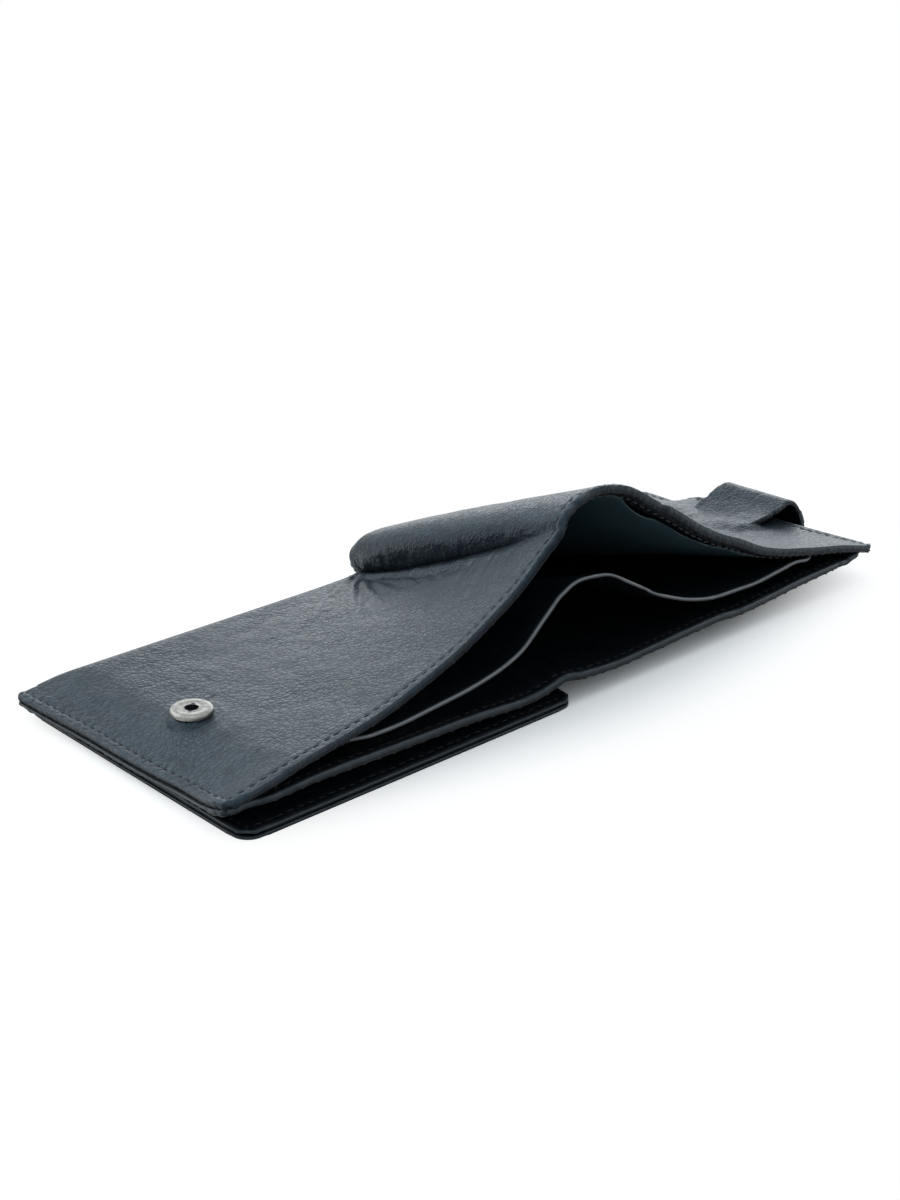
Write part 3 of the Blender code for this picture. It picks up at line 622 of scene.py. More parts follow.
def leather(name, look):
    made, tree, shader = newMaterial(name)
    spots = addNode(tree, "ShaderNodeUVMap", uv_map="leather").outputs["UV"]
    rim, under, crumple = (readLayer(tree, layer) for layer in ("rim", "under", "crumple"))
    pebbled = addNode(tree, "ShaderNodeGroup", {
        "Vector": spots, "Cells": look["cells"], "Swell": look["swell"]}, node_tree=grain).outputs
    # Rims are painted a lighter colour: partly rubbed wear, partly painted sheen where the edges catch the
    # light
    edge = addNode(tree, "ShaderNodeGroup", {"Vector": spots, "Rim": rim, "Even": look["even"]},
                   node_tree=rubbedAndSheen).outputs["WearAndSheen"]
    body = mixColours(tree, addRange(tree, pebbled["Swells"], 0.3, 0.7), look["dark"], look["light"])
    wornAndSheenColour = mixColours(tree, addMath(tree, "MULTIPLY", edge, look["wornAndSheenShare"]), body, look["wornAndSheenColour"])
    patches = addNoise(tree, spots, look["patches"])
    bumpiness = addRange(tree, patches, 0.35, 0.65, look["bump"] * 0.45, look["bump"])
    pleats = addNoise(tree, addVector(tree, "MULTIPLY", spots, (230.0, 560.0, 1.0)), 1.0)
    folded = addMath(tree, "MULTIPLY", addMath(tree, "MULTIPLY", pleats, crumple), look["pleats"])
    height = addMath(tree, "ADD", pebbled["Height"], folded)
    shine = addRange(tree, under, 0.1, 0.6, look["specular"], look["specular"] * look["dull"])
    low, high = look["roughness"]
    # Undersides are mixed to their own darker colour: painted shade
    setInputs(tree, shader, {
        "Base Color": mixColours(tree, under, wornAndSheenColour, look["below"]), "Specular Tint": (*look["tint"], 1.0),
        "Roughness": addRange(tree, pebbled["Lines"], toMin=high, toMax=low), "Specular IOR Level": shine,
        "Normal": addBump(tree, bumpiness, look["depth"], height)})
    return made


# The hide's darker underside colour is painted shade
# The lighter rim colour in each look is partly rubbed wear and partly painted sheen
hideLook = {"dark": (0.006, 0.009, 0.013), "light": (0.017, 0.025, 0.034), "wornAndSheenColour": (0.04, 0.05, 0.058),
            "below": (0.003, 0.004, 0.006), "tint": (0.6, 0.83, 1.0), "wornAndSheenShare": 0.45, "even": 0.0, "dull": 0.25,
            "roughness": (0.38, 0.52), "specular": 0.5, "cells": 640.0, "swell": 230.0, "patches": 45.0,
            "bump": 0.8, "depth": 0.0003, "pleats": 4.0}
smoothLook = {"dark": (0.003, 0.004, 0.006), "light": (0.007, 0.010, 0.013), "wornAndSheenColour": (0.055, 0.064, 0.072),
              "below": (0.003, 0.004, 0.005), "tint": (0.6, 0.83, 1.0), "wornAndSheenShare": 0.8, "even": 0.4, "dull": 0.2,
              "roughness": (0.34, 0.5), "specular": 0.42, "cells": 1500.0, "swell": 120.0, "patches": 60.0,
              "bump": 0.5, "depth": 0.00016, "pleats": 0.0}
# The divider's rim is painted an almost even light grey: a painted highlight along its edge
dividerLook = {**smoothLook, "wornAndSheenColour": (0.26, 0.27, 0.28), "wornAndSheenShare": 1.0, "even": 0.85}
liningLook = {"dark": (0.022, 0.04, 0.052), "light": (0.036, 0.06, 0.075), "wornAndSheenColour": (0.05, 0.06, 0.07),
              "below": (0.02, 0.04, 0.05), "tint": (0.7, 0.9, 1.0), "wornAndSheenShare": 0.2, "even": 0.0, "dull": 0.9,
              "roughness": (0.5, 0.6), "specular": 0.4, "cells": 2600.0, "swell": 60.0, "patches": 60.0,
              "bump": 0.12, "depth": 0.0001, "pleats": 0.0}
hide = leather("grainedLeather", hideLook)
smoothHide = leather("smoothLeather", smoothLook)
dividerHide = leather("dividerLeather", dividerLook)
liningHide = leather("liningLeather", liningLook)


def makeThread():
    made, tree, shader = newMaterial("thread")
    fibres = addNoise(tree, objectSpots(tree), 5200.0)
    tone = mixColours(tree, fibres, (0.002, 0.002, 0.003), (0.010, 0.011, 0.013))
    setInputs(tree, shader, {"Base Color": tone, "Roughness": 0.55, "Specular IOR Level": 0.4,
                             "Normal": addBump(tree, 0.5, 0.0001, fibres)})
    return made


def makeMetal(name, dark, light, roughness):
    made, tree, shader = newMaterial(name)
    clouds = addNoise(tree, objectSpots(tree), 900.0, 5.0, 0.65)
    setInputs(tree, shader, {"Base Color": mixColours(tree, clouds, dark, light), "Metallic": 1.0,
                             "Roughness": addRange(tree, clouds, 0.3, 0.7, roughness + 0.18, roughness),
                             "Normal": addBump(tree, 0.6, 0.0002, clouds)})
    return made


def makeFilm():
    made, tree, shader = newMaterial("clearFilm")
    scuffs = addNoise(tree, objectSpots(tree), 500.0, 6.0, 0.7)
    setInputs(tree, shader, {"Base Color": (0.8, 0.83, 0.85, 1.0),
                             "Roughness": addRange(tree, scuffs, 0.35, 0.75, 0.1, 0.3),
                             "Alpha": addRange(tree, scuffs, toMin=0.22, toMax=0.4)})
    return made


thread = makeThread()
nickel = makeMetal("nickel", (0.10, 0.095, 0.085), (0.62, 0.61, 0.57), 0.28)
darkNickel = makeMetal("darkNickel", (0.05, 0.05, 0.055), (0.12, 0.12, 0.125), 0.35)
clearFilm = makeFilm()
print("wallet: materials made")

# Where the leathers bend when the wallet folds: the cover along two slanting creases, the panel at its folds
folds = {"band": 0.009, "frontTilt": -0.3, "backTilt": 0.9, "panelReach": 0.0035}
creaseNear = place(frontEnd(0), 0, coverHeight(frontEnd(0), 0))
creaseFar = place(frontEnd(closedY), closedY, wallet["coverTop"])
footNear = place(backStart(0), 0, coverHeight(backStart(0), 0))
footFar = place(backStart(closedY), closedY, wallet["coverTop"])


def tiltedStep(near, far, tilt):
    run = far - near
    return Vector((1, -(run.x + tilt * run.z) / run.y, tilt)).normalized() * folds["band"]


frontStep = tiltedStep(creaseNear, creaseFar, folds["frontTilt"])
frontBend = ("front_half", "spine", creaseFar - frontStep, creaseFar)
backBend = ("spine", "back_half", footFar, footFar + tiltedStep(footNear, footFar, folds["backTilt"]))


def foldBend(before, after, x):
    return before, after, place(x - folds["panelReach"], 0, 0), place(x + folds["panelReach"], 0, 0)


def settle(made, *nodes, bend=None, body=None, slot="smooth_leather"):
    for piece in made:
        if bend:
            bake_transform(piece)
        else:
            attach(piece, body)
    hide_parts(*nodes)


def paint(node, surface):
    data = frame["nodes"][node].data
    data.materials.clear()
    data.materials.append(surface)


# Outer leather of the left half
frontCover = {"step": 0.0009, "thick": 0.0015, "turned": 0.0009, "turnedSides": 0.0005, "hem": 0.0046,
              "round": 0.0007, "swell": 0.00022, "pressed": 0.0066, "pressedEdge": 0.0012,
              "underRing": 0.0001, "bead": 0.0003, "beadWidth": 0.0011, "hemEdge": (-0.0006, 0.0005),
              "pinch": 0.0005, "pinchWidth": 0.0015, "pinchStart": (0.006, 0.022), "mitreMost": 0.62}
# Behind the crease the leather stands up in a lip with a wavering valley behind it
lip = {"rise": 0.0005, "back": 0.0024, "width": 0.0014, "start": (0.012, 0.036), "sink": 0.00022,
       "valleyBack": 0.0058, "waver": 0.0016, "valleyWidth": 0.0011, "folds": 0.0003}
ringLeft, ringRight, ringNear, ringFar, ringBase, _ = placedBox("snap_ring")
ringX, ringY = (ringLeft + ringRight) / 2, (ringNear + ringFar) / 2
# Creases in the leather, in millimetres: from, to, width and depth
frontCreases = [((112.0, 90.5), (96.0, 84.0), 1.3, 0.5), ((111.5, 89.5), (88.0, 74.0), 1.2, 0.7),
                ((111.0, 88.0), (85.0, 58.0), 1.1, 0.75), ((110.5, 86.5), (93.0, 55.0), 1.0, 0.7),
                ((110.0, 85.0), (99.0, 54.0), 1.1, 0.6), ((109.8, 83.0), (104.0, 50.0), 1.0, 0.55),
                ((111.8, 90.0), (92.0, 79.0), 0.9, 0.5), ((109.0, 76.0), (104.0, 62.0), 0.9, 0.3),
                ((108.0, 62.0), (101.0, 50.0), 1.1, 0.35), ((107.0, 52.0), (98.0, 41.0), 1.0, 0.3),
                ((106.0, 34.0), (94.0, 30.0), 1.0, 0.3), ((105.0, 26.0), (91.0, 20.0), 1.1, 0.32),
                ((104.5, 18.0), (93.0, 12.0), 1.0, 0.3), ((104.2, 12.0), (96.0, 8.0), 0.9, 0.25),
                ((86.0, 72.0), (70.0, 64.0), 2.2, 0.22), ((80.0, 84.0), (62.0, 80.0), 2.4, 0.2),
                ((74.0, 50.0), (60.0, 40.0), 2.6, 0.2), ((52.0, 66.0), (36.0, 58.0), 2.6, 0.16)]


def creaseDepth(creases, x, y):
    # Lengths in millimetres, but for the depth that comes back
    total, deepest = 0.0, 0.7
    for (x0, y0), (x1, y1), width, depth in creases:
        runX, runY = x1 - x0, y1 - y0
        share = min(max(((x - x0) * runX + (y - y0) * runY) / (runX * runX + runY * runY), 0.0), 1.0)
        gap = math.hypot(x - x0 - share * runX, y - y0 - share * runY)
        if gap < 3 * width:
            section = hump(gap, 0, width) - 0.45 * hump(gap, 1.6 * width, 0.9 * width)
            total += depth * section * (1 - 0.6 * share) * min(share * 6, 1.0)
    return 0.001 * deepest * math.tanh(total / deepest)


def swells(x, y, size, seed=0.0):
    return bumps(x / size, y / size, seed) + 0.5 * bumps(x / size * 2.3, y / size * 2.3, seed + 7)


def frontCoverSpot(column, y):
    x, y = leftCorners(column, y)
    x = x / frontReach * frontEnd(y)
    reach = math.hypot(x - ringX, y - ringY)
    pressed = fade(reach, frontCover["pressed"] - frontCover["pressedEdge"], frontCover["pressed"])
    return place(x, y, mix(frontCoverHeight(x, y), ringBase - frontCover["underRing"], pressed))


frontReach = wallet["frontLength"] - wallet["creaseSweep"] / 2


def pinch(away, y):
    # The leather is drawn in along the crease
    return frontCover["pinch"] * hump(away, 0.0, frontCover["pinchWidth"]) * ease(y, *frontCover["pinchStart"])


def creaseNormal(y):
    # Half way between the two leathers that meet at the crease, so that their thicknesses meet as well
    x, step = frontEnd(y), 0.0005
    before = Vector((step, 0, frontCoverHeight(x, y) - frontCoverHeight(x - step, y)))
    after = [ridgeSpot(column, y) for column in (0.0, 0.012)]
    after = Vector((after[1][0] - after[0][0], 0, after[1][1] - after[0][1]))
    normals = [Vector((-run.z, 0, run.x)).normalized() for run in (before, after)]
    half = (normals[0] + normals[1]).normalized()
    return half / max(half.dot(normals[0]), frontCover["mitreMost"])


def frontCoverRelief(column, y):
    x = column / frontReach * frontEnd(y)
    fromRing = math.hypot(x - ringX, y - ringY)
    quiet = ease(min(column, y, closedY - y), 0, 0.006) * ease(fromRing, 0.006, 0.012)
    rise = frontCover["swell"] * swells(x, y, 0.016) * quiet
    beadPlace = frontCover["pressed"] + frontCover["pressedEdge"]
    rise += frontCover["bead"] * hump(fromRing, beadPlace, frontCover["beadWidth"])
    behind = frontEnd(y) - x
    folded = ease(behind, 0, 0.002) * hump(behind, 0.003, 0.006)
    rise += lip["folds"] * folded * bumps(x * 500, y * 900, 3.0)
    valley = lip["valleyBack"] + lip["waver"] * bumps(y * 130, 2.0, 1.0)
    profile = lip["rise"] * hump(behind, lip["back"], lip["width"])
    profile -= lip["sink"] * hump(behind, valley, lip["valleyWidth"])
    rise += ease(y, *lip["start"]) * (0.75 + 0.5 * bumps(y * 210, 5.0, 2.0)) * profile
    rise -= creaseDepth(frontCreases, x * 1000, y * 1000) * ease(behind, 0.001, 0.004)
    return rise - pinch(behind, y)


def frontCrumple(column, y):
    behind = (1 - column / frontReach) * frontEnd(y)
    return 0.6 * hump(behind, 0, 0.006) * ease(y, 0.02, 0.05)


def hemShare(gap, hem):
    return fade(gap - hem, *frontCover["hemEdge"])


def coverThickness(gaps, x):
    sides = min(gap for edge, gap in gaps.items() if edge != "near")
    return frontCover["thick"] + max(frontCover["turned"] * hemShare(gaps["near"], frontCover["hem"]),
                                     frontCover["turnedSides"] * hemShare(sides, frontCover["hem"]))


def coverRows(step):
    # Grid lines from the mouth to the closed edge, with some close together where the turned hem ends
    rows = [y for y in lanes(0.0, closedY, step, True, True) if abs(y - frontCover["hem"]) > 0.0009]
    return sorted(rows + [frontCover["hem"] + d for d in (-0.0007, -0.0002, 0.0002, 0.0006)])


makeSheet("coverFront", {
    "columns": lanes(0.0, frontReach, frontCover["step"], True), "rows": coverRows(frontCover["step"]),
    "spot": frontCoverSpot, "relief": frontCoverRelief, "crumple": frontCrumple,
    "thickness": coverThickness, "round": frontCover["round"], "steps": 4,
    "open": leftOpen, "seams": ("left", "near"), "mitre": ("right", creaseNormal)},
    hide, "cover_front", bend=frontBend, slot="grained_leather")

# Outer leather of the spine and the right half, one hide from the crease to the right short edge
backCover = {"ridgeColumns": 50, "step": 0.0009, "swell": 0.0002, "wrinkle": 0.0003}
# The cover rises over the strap's tab: how far, and where it starts and ends, counted from the tab's corner
tab = {"rise": 0.0016, "left": (-0.015, -0.005), "right": (-0.0012, 0.0022), "near": (-0.003, 0.001),
       "far": (0.004, 0.02)}
# The leather puckers over the tab, and dips along the row of stitches that holds it
pucker = {"rise": 0.0002, "middle": -0.006, "width": 0.007, "dip": 0.0003, "row": -0.0155, "rowWidth": 0.0012,
          "nearRun": 0.01, "farRun": 0.008}
_, tabEnd, tabNear, tabFar, *_ = placedBox("strap_root")
backReach = wallet["frontLength"] - wallet["footNear"] / 2


def backX(column, y):
    x, y = roundCorners(column * backReach, y, (None, backReach), (0, closedY), wallet["rightRadii"])
    return mix(backStart(y), backEnd(y), x / backReach), y


def overTab(x, y):
    along = ease(x - tabEnd, *tab["left"]) * fade(x - tabEnd, *tab["right"])
    return tab["rise"] * along * ease(y - tabNear, *tab["near"]) * fade(y - tabNear, *tab["far"])


def backCoverSpot(column, y):
    if column < 1:
        x, z = ridgeSpot(column, y)
        return place(x, y, z)
    x, y = backX(column - 1, y)
    return place(x, y, backCoverHeight(x, y) + overTab(x, y))


def backCoverRelief(column, y):
    if column < 1:
        wall = hump(column, 0.06, 0.11) * (1 - 0.6 * nearness(y))
        pleats = bumps(y * 420, column * 5, 1.0) + 0.6 * bumps(y * 900, column * 11, 4.0)
        crest = 0.5 * backCover["swell"] * swells(column * 0.03, y, 0.008, 2.0)
        first = ease(column, 0, 0.06)
        return first * (1.5 * backCover["wrinkle"] * wall * pleats + crest) - pinch(column * 0.05, y)
    x, y = backX(column - 1, y)
    rim = min(y, closedY - y, fullLength - x)
    rise = backCover["swell"] * swells(x, y, 0.014, 5.0) * ease(rim, 0, 0.006)
    puckers = pucker["rise"] * bumps(x * 160, y * 420, 8.0)
    puckers -= pucker["dip"] * hump(x - tabEnd, pucker["row"], pucker["rowWidth"])
    along = ease(y, tabNear - pucker["nearRun"], tabNear) * fade(y, tabFar, tabFar + pucker["farRun"])
    return rise + puckers * hump(x - tabEnd, pucker["middle"], pucker["width"]) * along


def backCrumple(column, y):
    return hump(column, 0.04, 0.11) * ease(y, 0.0, 0.03) if column < 1 else 0.0


ridgeLanes = [k / backCover["ridgeColumns"] for k in range(backCover["ridgeColumns"])]
backLanes = [1 + x / backReach for x in lanes(0.0, backReach, backCover["step"], False, True)]
makeSheet("coverBack", {
    "columns": ridgeLanes + backLanes, "rows": coverRows(backCover["step"]),
    "spot": backCoverSpot, "relief": backCoverRelief, "crumple": backCrumple,
    "thickness": coverThickness, "round": frontCover["round"], "steps": 4,
    "smooth": ((0.9, 1.06, 12), (0.04, 0.94, 3)),
    "open": rightOpen, "seams": ("near", "right"), "mitre": ("left", creaseNormal),
    "thickBelow": frontCover["thick"] + frontCover["turned"]},
    hide, "cover_spine", "cover_back", "strap_root", bend=backBend, slot="grained_leather")
print("wallet: outer leather made")

# Lining, one piece each side of the crease, ending against the turned mouth edge
lining = {"step": 0.0025, "depth": 0.0018, "start": 0.0048, "farInset": 0.0087}
liningSheet = {"rows": lanes(lining["start"], closedY - lining["farInset"], lining["step"]),
               "thickness": 0.0005, "round": 0.00015, "steps": 2}


def ridgeBelow(column, y, depth):
    # A point that deep inside the ridge, square to its outline
    start, end = ridgeSpot(max(column - 0.01, 0.0), y), ridgeSpot(min(column + 0.01, 1.0), y)
    run, rise = end[0] - start[0], end[1] - start[1]
    size = math.hypot(run, rise)
    x, z = ridgeSpot(column, y)
    return x + depth * rise / size, z - depth * run / size


def liningFrontSpot(x, y):
    x = mix(sideInset(y), frontEnd(y), x / frontReach)
    return place(x, y, frontCoverHeight(x, y) - lean(x, y) * lining["depth"])


def liningBackSpot(column, y):
    if column < 1:
        x, z = ridgeBelow(column, y, lining["depth"])
        return place(x, y, z)
    x = mix(backStart(y), backEnd(y) - sideInset(y), column - 1)
    return place(x, y, backCoverHeight(x, y) - lean(x, y) * lining["depth"])


makeSheet("liningFront", {
    **liningSheet, "columns": lanes(0.0, frontReach, lining["step"]), "spot": liningFrontSpot,
    "open": leftOpen}, liningHide, "cover_lining_front", bend=frontBend, slot="lining_leather")
makeSheet("liningBack", {
    **liningSheet, "columns": [k / 30 for k in range(30)] + [1 + k / 40 for k in range(41)],
    "spot": liningBackSpot, "smooth": ((0.9, 1.06, 8),), "open": rightOpen},
    liningHide, "cover_lining_spine", "cover_lining_back", bend=backBend, slot="lining_leather")

# Leaf that splits the note compartment. Its place between the panel and the cover follows dividerShare, and
# its mouth edge is tucked in near both short edges.
divider = {"step": 0.0016, "thick": 0.0006, "turned": 0.0003, "hem": 0.0085, "hemEdge": 0.002,
           "farInset": 0.0055, "above": 0.0009, "below": 0.0023, "spare": 0.0012, "nearSpare": 0.0006,
           "highest": 0.92, "tuck": 0.012, "tuckRun": 0.04, "leftTuck": (0.02, 0.042),
           "rightTuck": (0.012, 0.036), "bend": 0.0155}


def dividerTurn(gap):
    return divider["turned"] * fade(gap - divider["hem"], -divider["hemEdge"], divider["hemEdge"])


def dividerSpot(x, y):
    ceiling = coverHeight(x, y) - lean(x, y) * divider["below"]
    room = ceiling - panelHeight(x, y) - divider["spare"] - divider["nearSpare"] * nearness(y)
    share = min(follow(dividerShare, x / fullLength), divider["highest"])
    rise = divider["above"] + share * max(room, 0.0) + dividerTurn(y)
    inward = fade(x, *divider["leftTuck"]) + fade(fullLength - x, *divider["rightTuck"])
    y += divider["tuck"] * inward * fade(y, 0, divider["tuckRun"])
    return place(x, y, panelHeight(x, y) + rise)


def dividerThickness(gaps, x):
    return divider["thick"] + dividerTurn(gaps["near"])


def dividerFrontSpot(x, y):
    return dividerSpot(mix(sideInset(y), spineMiddle, x / spineMiddle), y)


def dividerBackSpot(share, y):
    return dividerSpot(mix(spineMiddle, backEnd(y) - sideInset(y), share), y)


dividerSheet = {"rows": lanes(0.0, closedY - divider["farInset"], divider["step"], True),
                "thickness": dividerThickness, "round": 0.0003, "steps": 3}
bendLeft, bendMiddle, bendRight = (place(spineMiddle + way * divider["bend"], 0, 0) for way in (-1, 0, 1))
makeSheet("dividerFront", {
    **dividerSheet, "columns": lanes(0.0, spineMiddle, divider["step"]), "spot": dividerFrontSpot,
    "open": leftOpen},
    dividerHide, "divider_front", bend=("front_half", "spine", bendLeft, bendMiddle))
makeSheet("dividerBack", {
    **dividerSheet, "columns": [k / 72 for k in range(73)], "spot": dividerBackSpot,
    "open": rightOpen},
    dividerHide, "divider_spine", "divider_back", bend=("spine", "back_half", bendMiddle, bendRight))
print("wallet: lining and divider made")

# Inner panel with its turned and stitched near edge
panel = {"step": 0.0012, "thick": 0.0012, "turned": 0.0012, "turnedEnds": 0.0005, "taper": 0.04,
         "hem": 0.0085, "swell": 0.00015, "quiet": 0.005}
panelCreases = [((103.0, 2.0), (106.0, 22.0), 1.2, 0.8), ((108.5, 1.0), (112.0, 26.0), 1.3, 0.7),
                ((99.0, 6.0), (101.0, 20.0), 1.2, 0.5), ((113.0, 8.0), (118.0, 30.0), 1.4, 0.6),
                ((122.0, 4.0), (121.0, 24.0), 1.4, 0.5), ((128.0, 9.0), (131.0, 26.0), 1.3, 0.4)]


def panelThickness(gaps, x):
    extra = mix(panel["turnedEnds"], panel["turned"], ease(min(x, fullLength - x), 0, panel["taper"]))
    return panel["thick"] + extra * hemShare(gaps["near"], panel["hem"])


def panelFrontSpot(x, y):
    x, y = leftCorners(x, y)
    return place(x, y, panelHeight(x, y))


def panelBackSpot(column, y):
    x, y = roundCorners(column, y, (None, fullLength), (0, closedY), wallet["rightRadii"])
    x = mix(spineMiddle, backEnd(y), (x - spineMiddle) / (fullLength - spineMiddle))
    reach, run = wallet["rightPullReach"]
    drawn = x - wallet["rightPull"] * fade(backEnd(y) - x, 0, reach) * fade(y, 0, run)
    follows = backCoverHeight(drawn, y) - backCoverHeight(x, y) if drawn < x else 0.0
    return place(drawn, y, panelHeight(x, y) + follows)


def panelRelief(x, y):
    quiet = ease(min(x, fullLength - x, y, closedY - y), 0, panel["quiet"])
    swell = panel["swell"] * swells(x, y, 0.012, 9.0)
    return quiet * (swell - creaseDepth(panelCreases, x * 1000, y * 1000))


panelSheet = {"rows": coverRows(panel["step"]), "relief": panelRelief, "thickness": panelThickness,
              "round": 0.0006, "steps": 4}
makeSheet("panelFront", {
    **panelSheet, "columns": lanes(0.0, spineMiddle, panel["step"], True), "spot": panelFrontSpot,
    "open": leftOpen, "seams": ("left", "near")},
    smoothHide, "inner_panel_front", bend=foldBend("front_half", "spine", wallet["frontLength"]))
makeSheet("panelBack", {
    **panelSheet, "columns": lanes(spineMiddle, fullLength, panel["step"], False, True),
    "spot": panelBackSpot, "open": rightOpen, "seams": ("near", "right")},
    smoothHide, "inner_panel_spine", "inner_panel_back", bend=foldBend("spine", "back_half", secondFold))

# Card pockets, under the panel
pockets = {"step": 0.0025, "thick": 0.0007, "mouth": 0.012, "stepDown": 0.016, "side": 0.0075, "fold": 0.005,
           "frontFar": 0.0079, "backFar": 0.003, "below": 0.0015, "apart": 0.001}
frontPocketEnds = (pockets["side"], wallet["frontLength"] - pockets["fold"])
backPocketEnds = (secondFold + pockets["fold"], fullLength - pockets["side"])


def makePocket(name, node, ends, down, farInset, body):
    def spot(x, y):
        if body == "back_half":
            x -= wallet["backSkew"] * (1 - nearness(y)) * (x - secondFold) / (fullLength - secondFold)
        return place(x, y, panelHeight(x, y) - pockets["below"] - down * pockets["apart"])

    mouth = pockets["mouth"] + down * pockets["stepDown"]
    makeSheet(name, {
        "columns": lanes(*ends, pockets["step"], True, True),
        "rows": lanes(mouth, closedY - farInset, pockets["step"], True), "spot": spot,
        "thickness": pockets["thick"], "round": 0.0002, "steps": 2,
        "open": allEdges, "seams": ("near",)}, smoothHide, node, body=body)


makePocket("pocketFront", "front_pocket", frontPocketEnds, 0, pockets["frontFar"], "front_half")
makePocket("pocketBackUpper", "back_pocket_upper", backPocketEnds, 0, pockets["backFar"], "back_half")
makePocket("pocketBackLower", "back_pocket_lower", backPocketEnds, 1, pockets["backFar"], "back_half")
print("wallet: inner panel and pockets made")

# Hinged inner leaf: a frame with a clear window, a panel and a pocket, each with its top and its thickness
wing = {"step": 0.0025, "radius": 0.005, "border": 0.013, "pocketDrop": 0.022,
        "frame": (0.0008, 0.0008), "panel": (0.0023, 0.0009), "pocket": (0.0031, 0.0006)}
wingX0, wingX1, wingY0, wingY1, *_ = placedBox("wing_panel")


def withEnds(lines, ends):
    # The grid's lines, with a line on each of the two ends and none close beside them
    kept = {round(line, 6) for line in lines if all(abs(line - end) > 0.0008 for end in ends)}
    return sorted(kept | set(ends))


def wingLeather(name, node, z, thick, drop=0.0, border=None, seams=()):
    near = wingY0 + drop

    def spot(x, y):
        return place(*roundCorners(x, y, (wingX0, wingX1), (near, wingY1), (wing["radius"],) * 2), z)

    sheet = {"columns": lanes(wingX0, wingX1, wing["step"], True, True),
             "rows": lanes(near, wingY1, wing["step"], True, True), "spot": spot,
             "thickness": thick, "round": thick * 0.45, "steps": 3, "open": allEdges, "seams": seams}
    if border:
        sheet["hole"] = (wingX0 + border, wingX1 - border, near + border, wingY1 - border)
        sheet["columns"] = withEnds(sheet["columns"], sheet["hole"][:2])
        sheet["rows"] = withEnds(sheet["rows"], sheet["hole"][2:])
    makeSheet(name, sheet, smoothHide, node, body="wing")


wingLeather("wingFrame", "wing_frame", *wing["frame"], border=wing["border"])
wingLeather("wingPanel", "wing_panel", *wing["panel"], seams=("left", "near", "right"))
wingLeather("wingPocket", "wing_pocket", *wing["pocket"], drop=wing["pocketDrop"])
stripX0, stripX1, stripY0, *_, stripTop = placedBox("wing_hinge_strip")
strip = {"length": 0.0098, "thick": 0.0005, "turnStart": 0.0004, "turnRun": 0.0018, "radius": 0.0011,
         "mostTurn": math.pi / 2 + 0.5, "bend": ((-0.002, 0.0040), (0.0008, 0.0026))}


def stripSpot(x, run):
    # Along the panel's underside, round the closed edge and down to the leaf
    flat = wingY1 - stripY0 - strip["turnStart"]
    if run <= flat:
        return place(x, stripY0 + run, stripTop)
    turn = min((run - flat) / strip["turnRun"], strip["mostTurn"])
    return place(x, wingY1 - strip["turnStart"] + strip["radius"] * math.sin(turn),
                 stripTop - strip["radius"] * (1 - math.cos(turn)))


before, after = (place(0, closedY + y, z) for y, z in strip["bend"])
makeSheet("wingHingeStrip", {
    "columns": lanes(stripX0, stripX1, wing["step"], True, True),
    "rows": [k / 16 * strip["length"] for k in range(17)], "spot": stripSpot,
    "thickness": strip["thick"], "round": 0.00015, "steps": 2, "open": allEdges},
    smoothHide, "wing_hinge_strip", bend=("front_half", "wing", before, after))
paint("wing_window", clearFilm)
print("wallet: hinged leaf made")

# Closing strap. Its centreline at its near edge, x and z in millimetres, starts in the tab under the cover,
# goes over the crest and comes back under the right half. Its far edge lies lower by farDrop millimetres.
strap = {"thick": 0.0016, "near": 0.034, "far": 0.061, "step": 0.0008, "rowStep": 0.0011, "tip": 0.007,
         "round": 0.0007, "trace": 0.0002, "swell": 0.00012,
         "farDrop": ((0.0, 4.2), (0.008, 4.0), (0.014, 2.4), (0.021, 1.3), (0.027, 0.6), (0.033, 0.0),
                     (0.08, 0.0)),
         "middle": ((218.5, 12.1), (222.5, 12.45), (227.1, 13.0), (231.5, 13.35), (235.3, 13.95),
                    (239.7, 15.0), (242.2, 15.35), (244.7, 14.6), (246.9, 12.6), (248.7, 9.8), (250.1, 6.9),
                    (250.9, 4.6), (250.4, 2.9), (248.3, 1.95), (244.0, 1.62), (238.0, 1.55), (233.0, 1.55),
                    (222.0, 1.55), (212.0, 1.55), (201.23, 1.55))}
strapJoints = [joint["pos_m"] for joint in frame["joints"] if joint["name"].startswith("strap")]


def traceStrap():
    # Points close together: running length of the top surface, centre x and z, outward direction
    points = [(x / 1000, z / 1000) for x, z in strap["middle"]]
    steps = [0.0]
    for (x0, z0), (x1, z1) in zip(points, points[1:]):
        steps.append(steps[-1] + math.hypot(x1 - x0, z1 - z0))
    xs, zs = [(s, p[0]) for s, p in zip(steps, points)], [(s, p[1]) for s, p in zip(steps, points)]
    count = round(steps[-1] / strap["trace"])
    centres = [tuple(follow(table, steps[-1] * k / count) for table in (xs, zs)) for k in range(count + 1)]
    path, total, last = [], 0.0, None
    for k, (x, z) in enumerate(centres):
        before, after = centres[max(k - 2, 0)], centres[min(k + 2, count)]
        runX, runZ = after[0] - before[0], after[1] - before[1]
        size = math.hypot(runX, runZ)
        outX, outZ = -runZ / size, runX / size
        top = (x + outX * strap["thick"] / 2, z + outZ * strap["thick"] / 2)
        total += math.dist(top, last) if last else 0.0
        path.append((total, x, z, outX, outZ))
        last = top
    return path


strapPath = traceStrap()


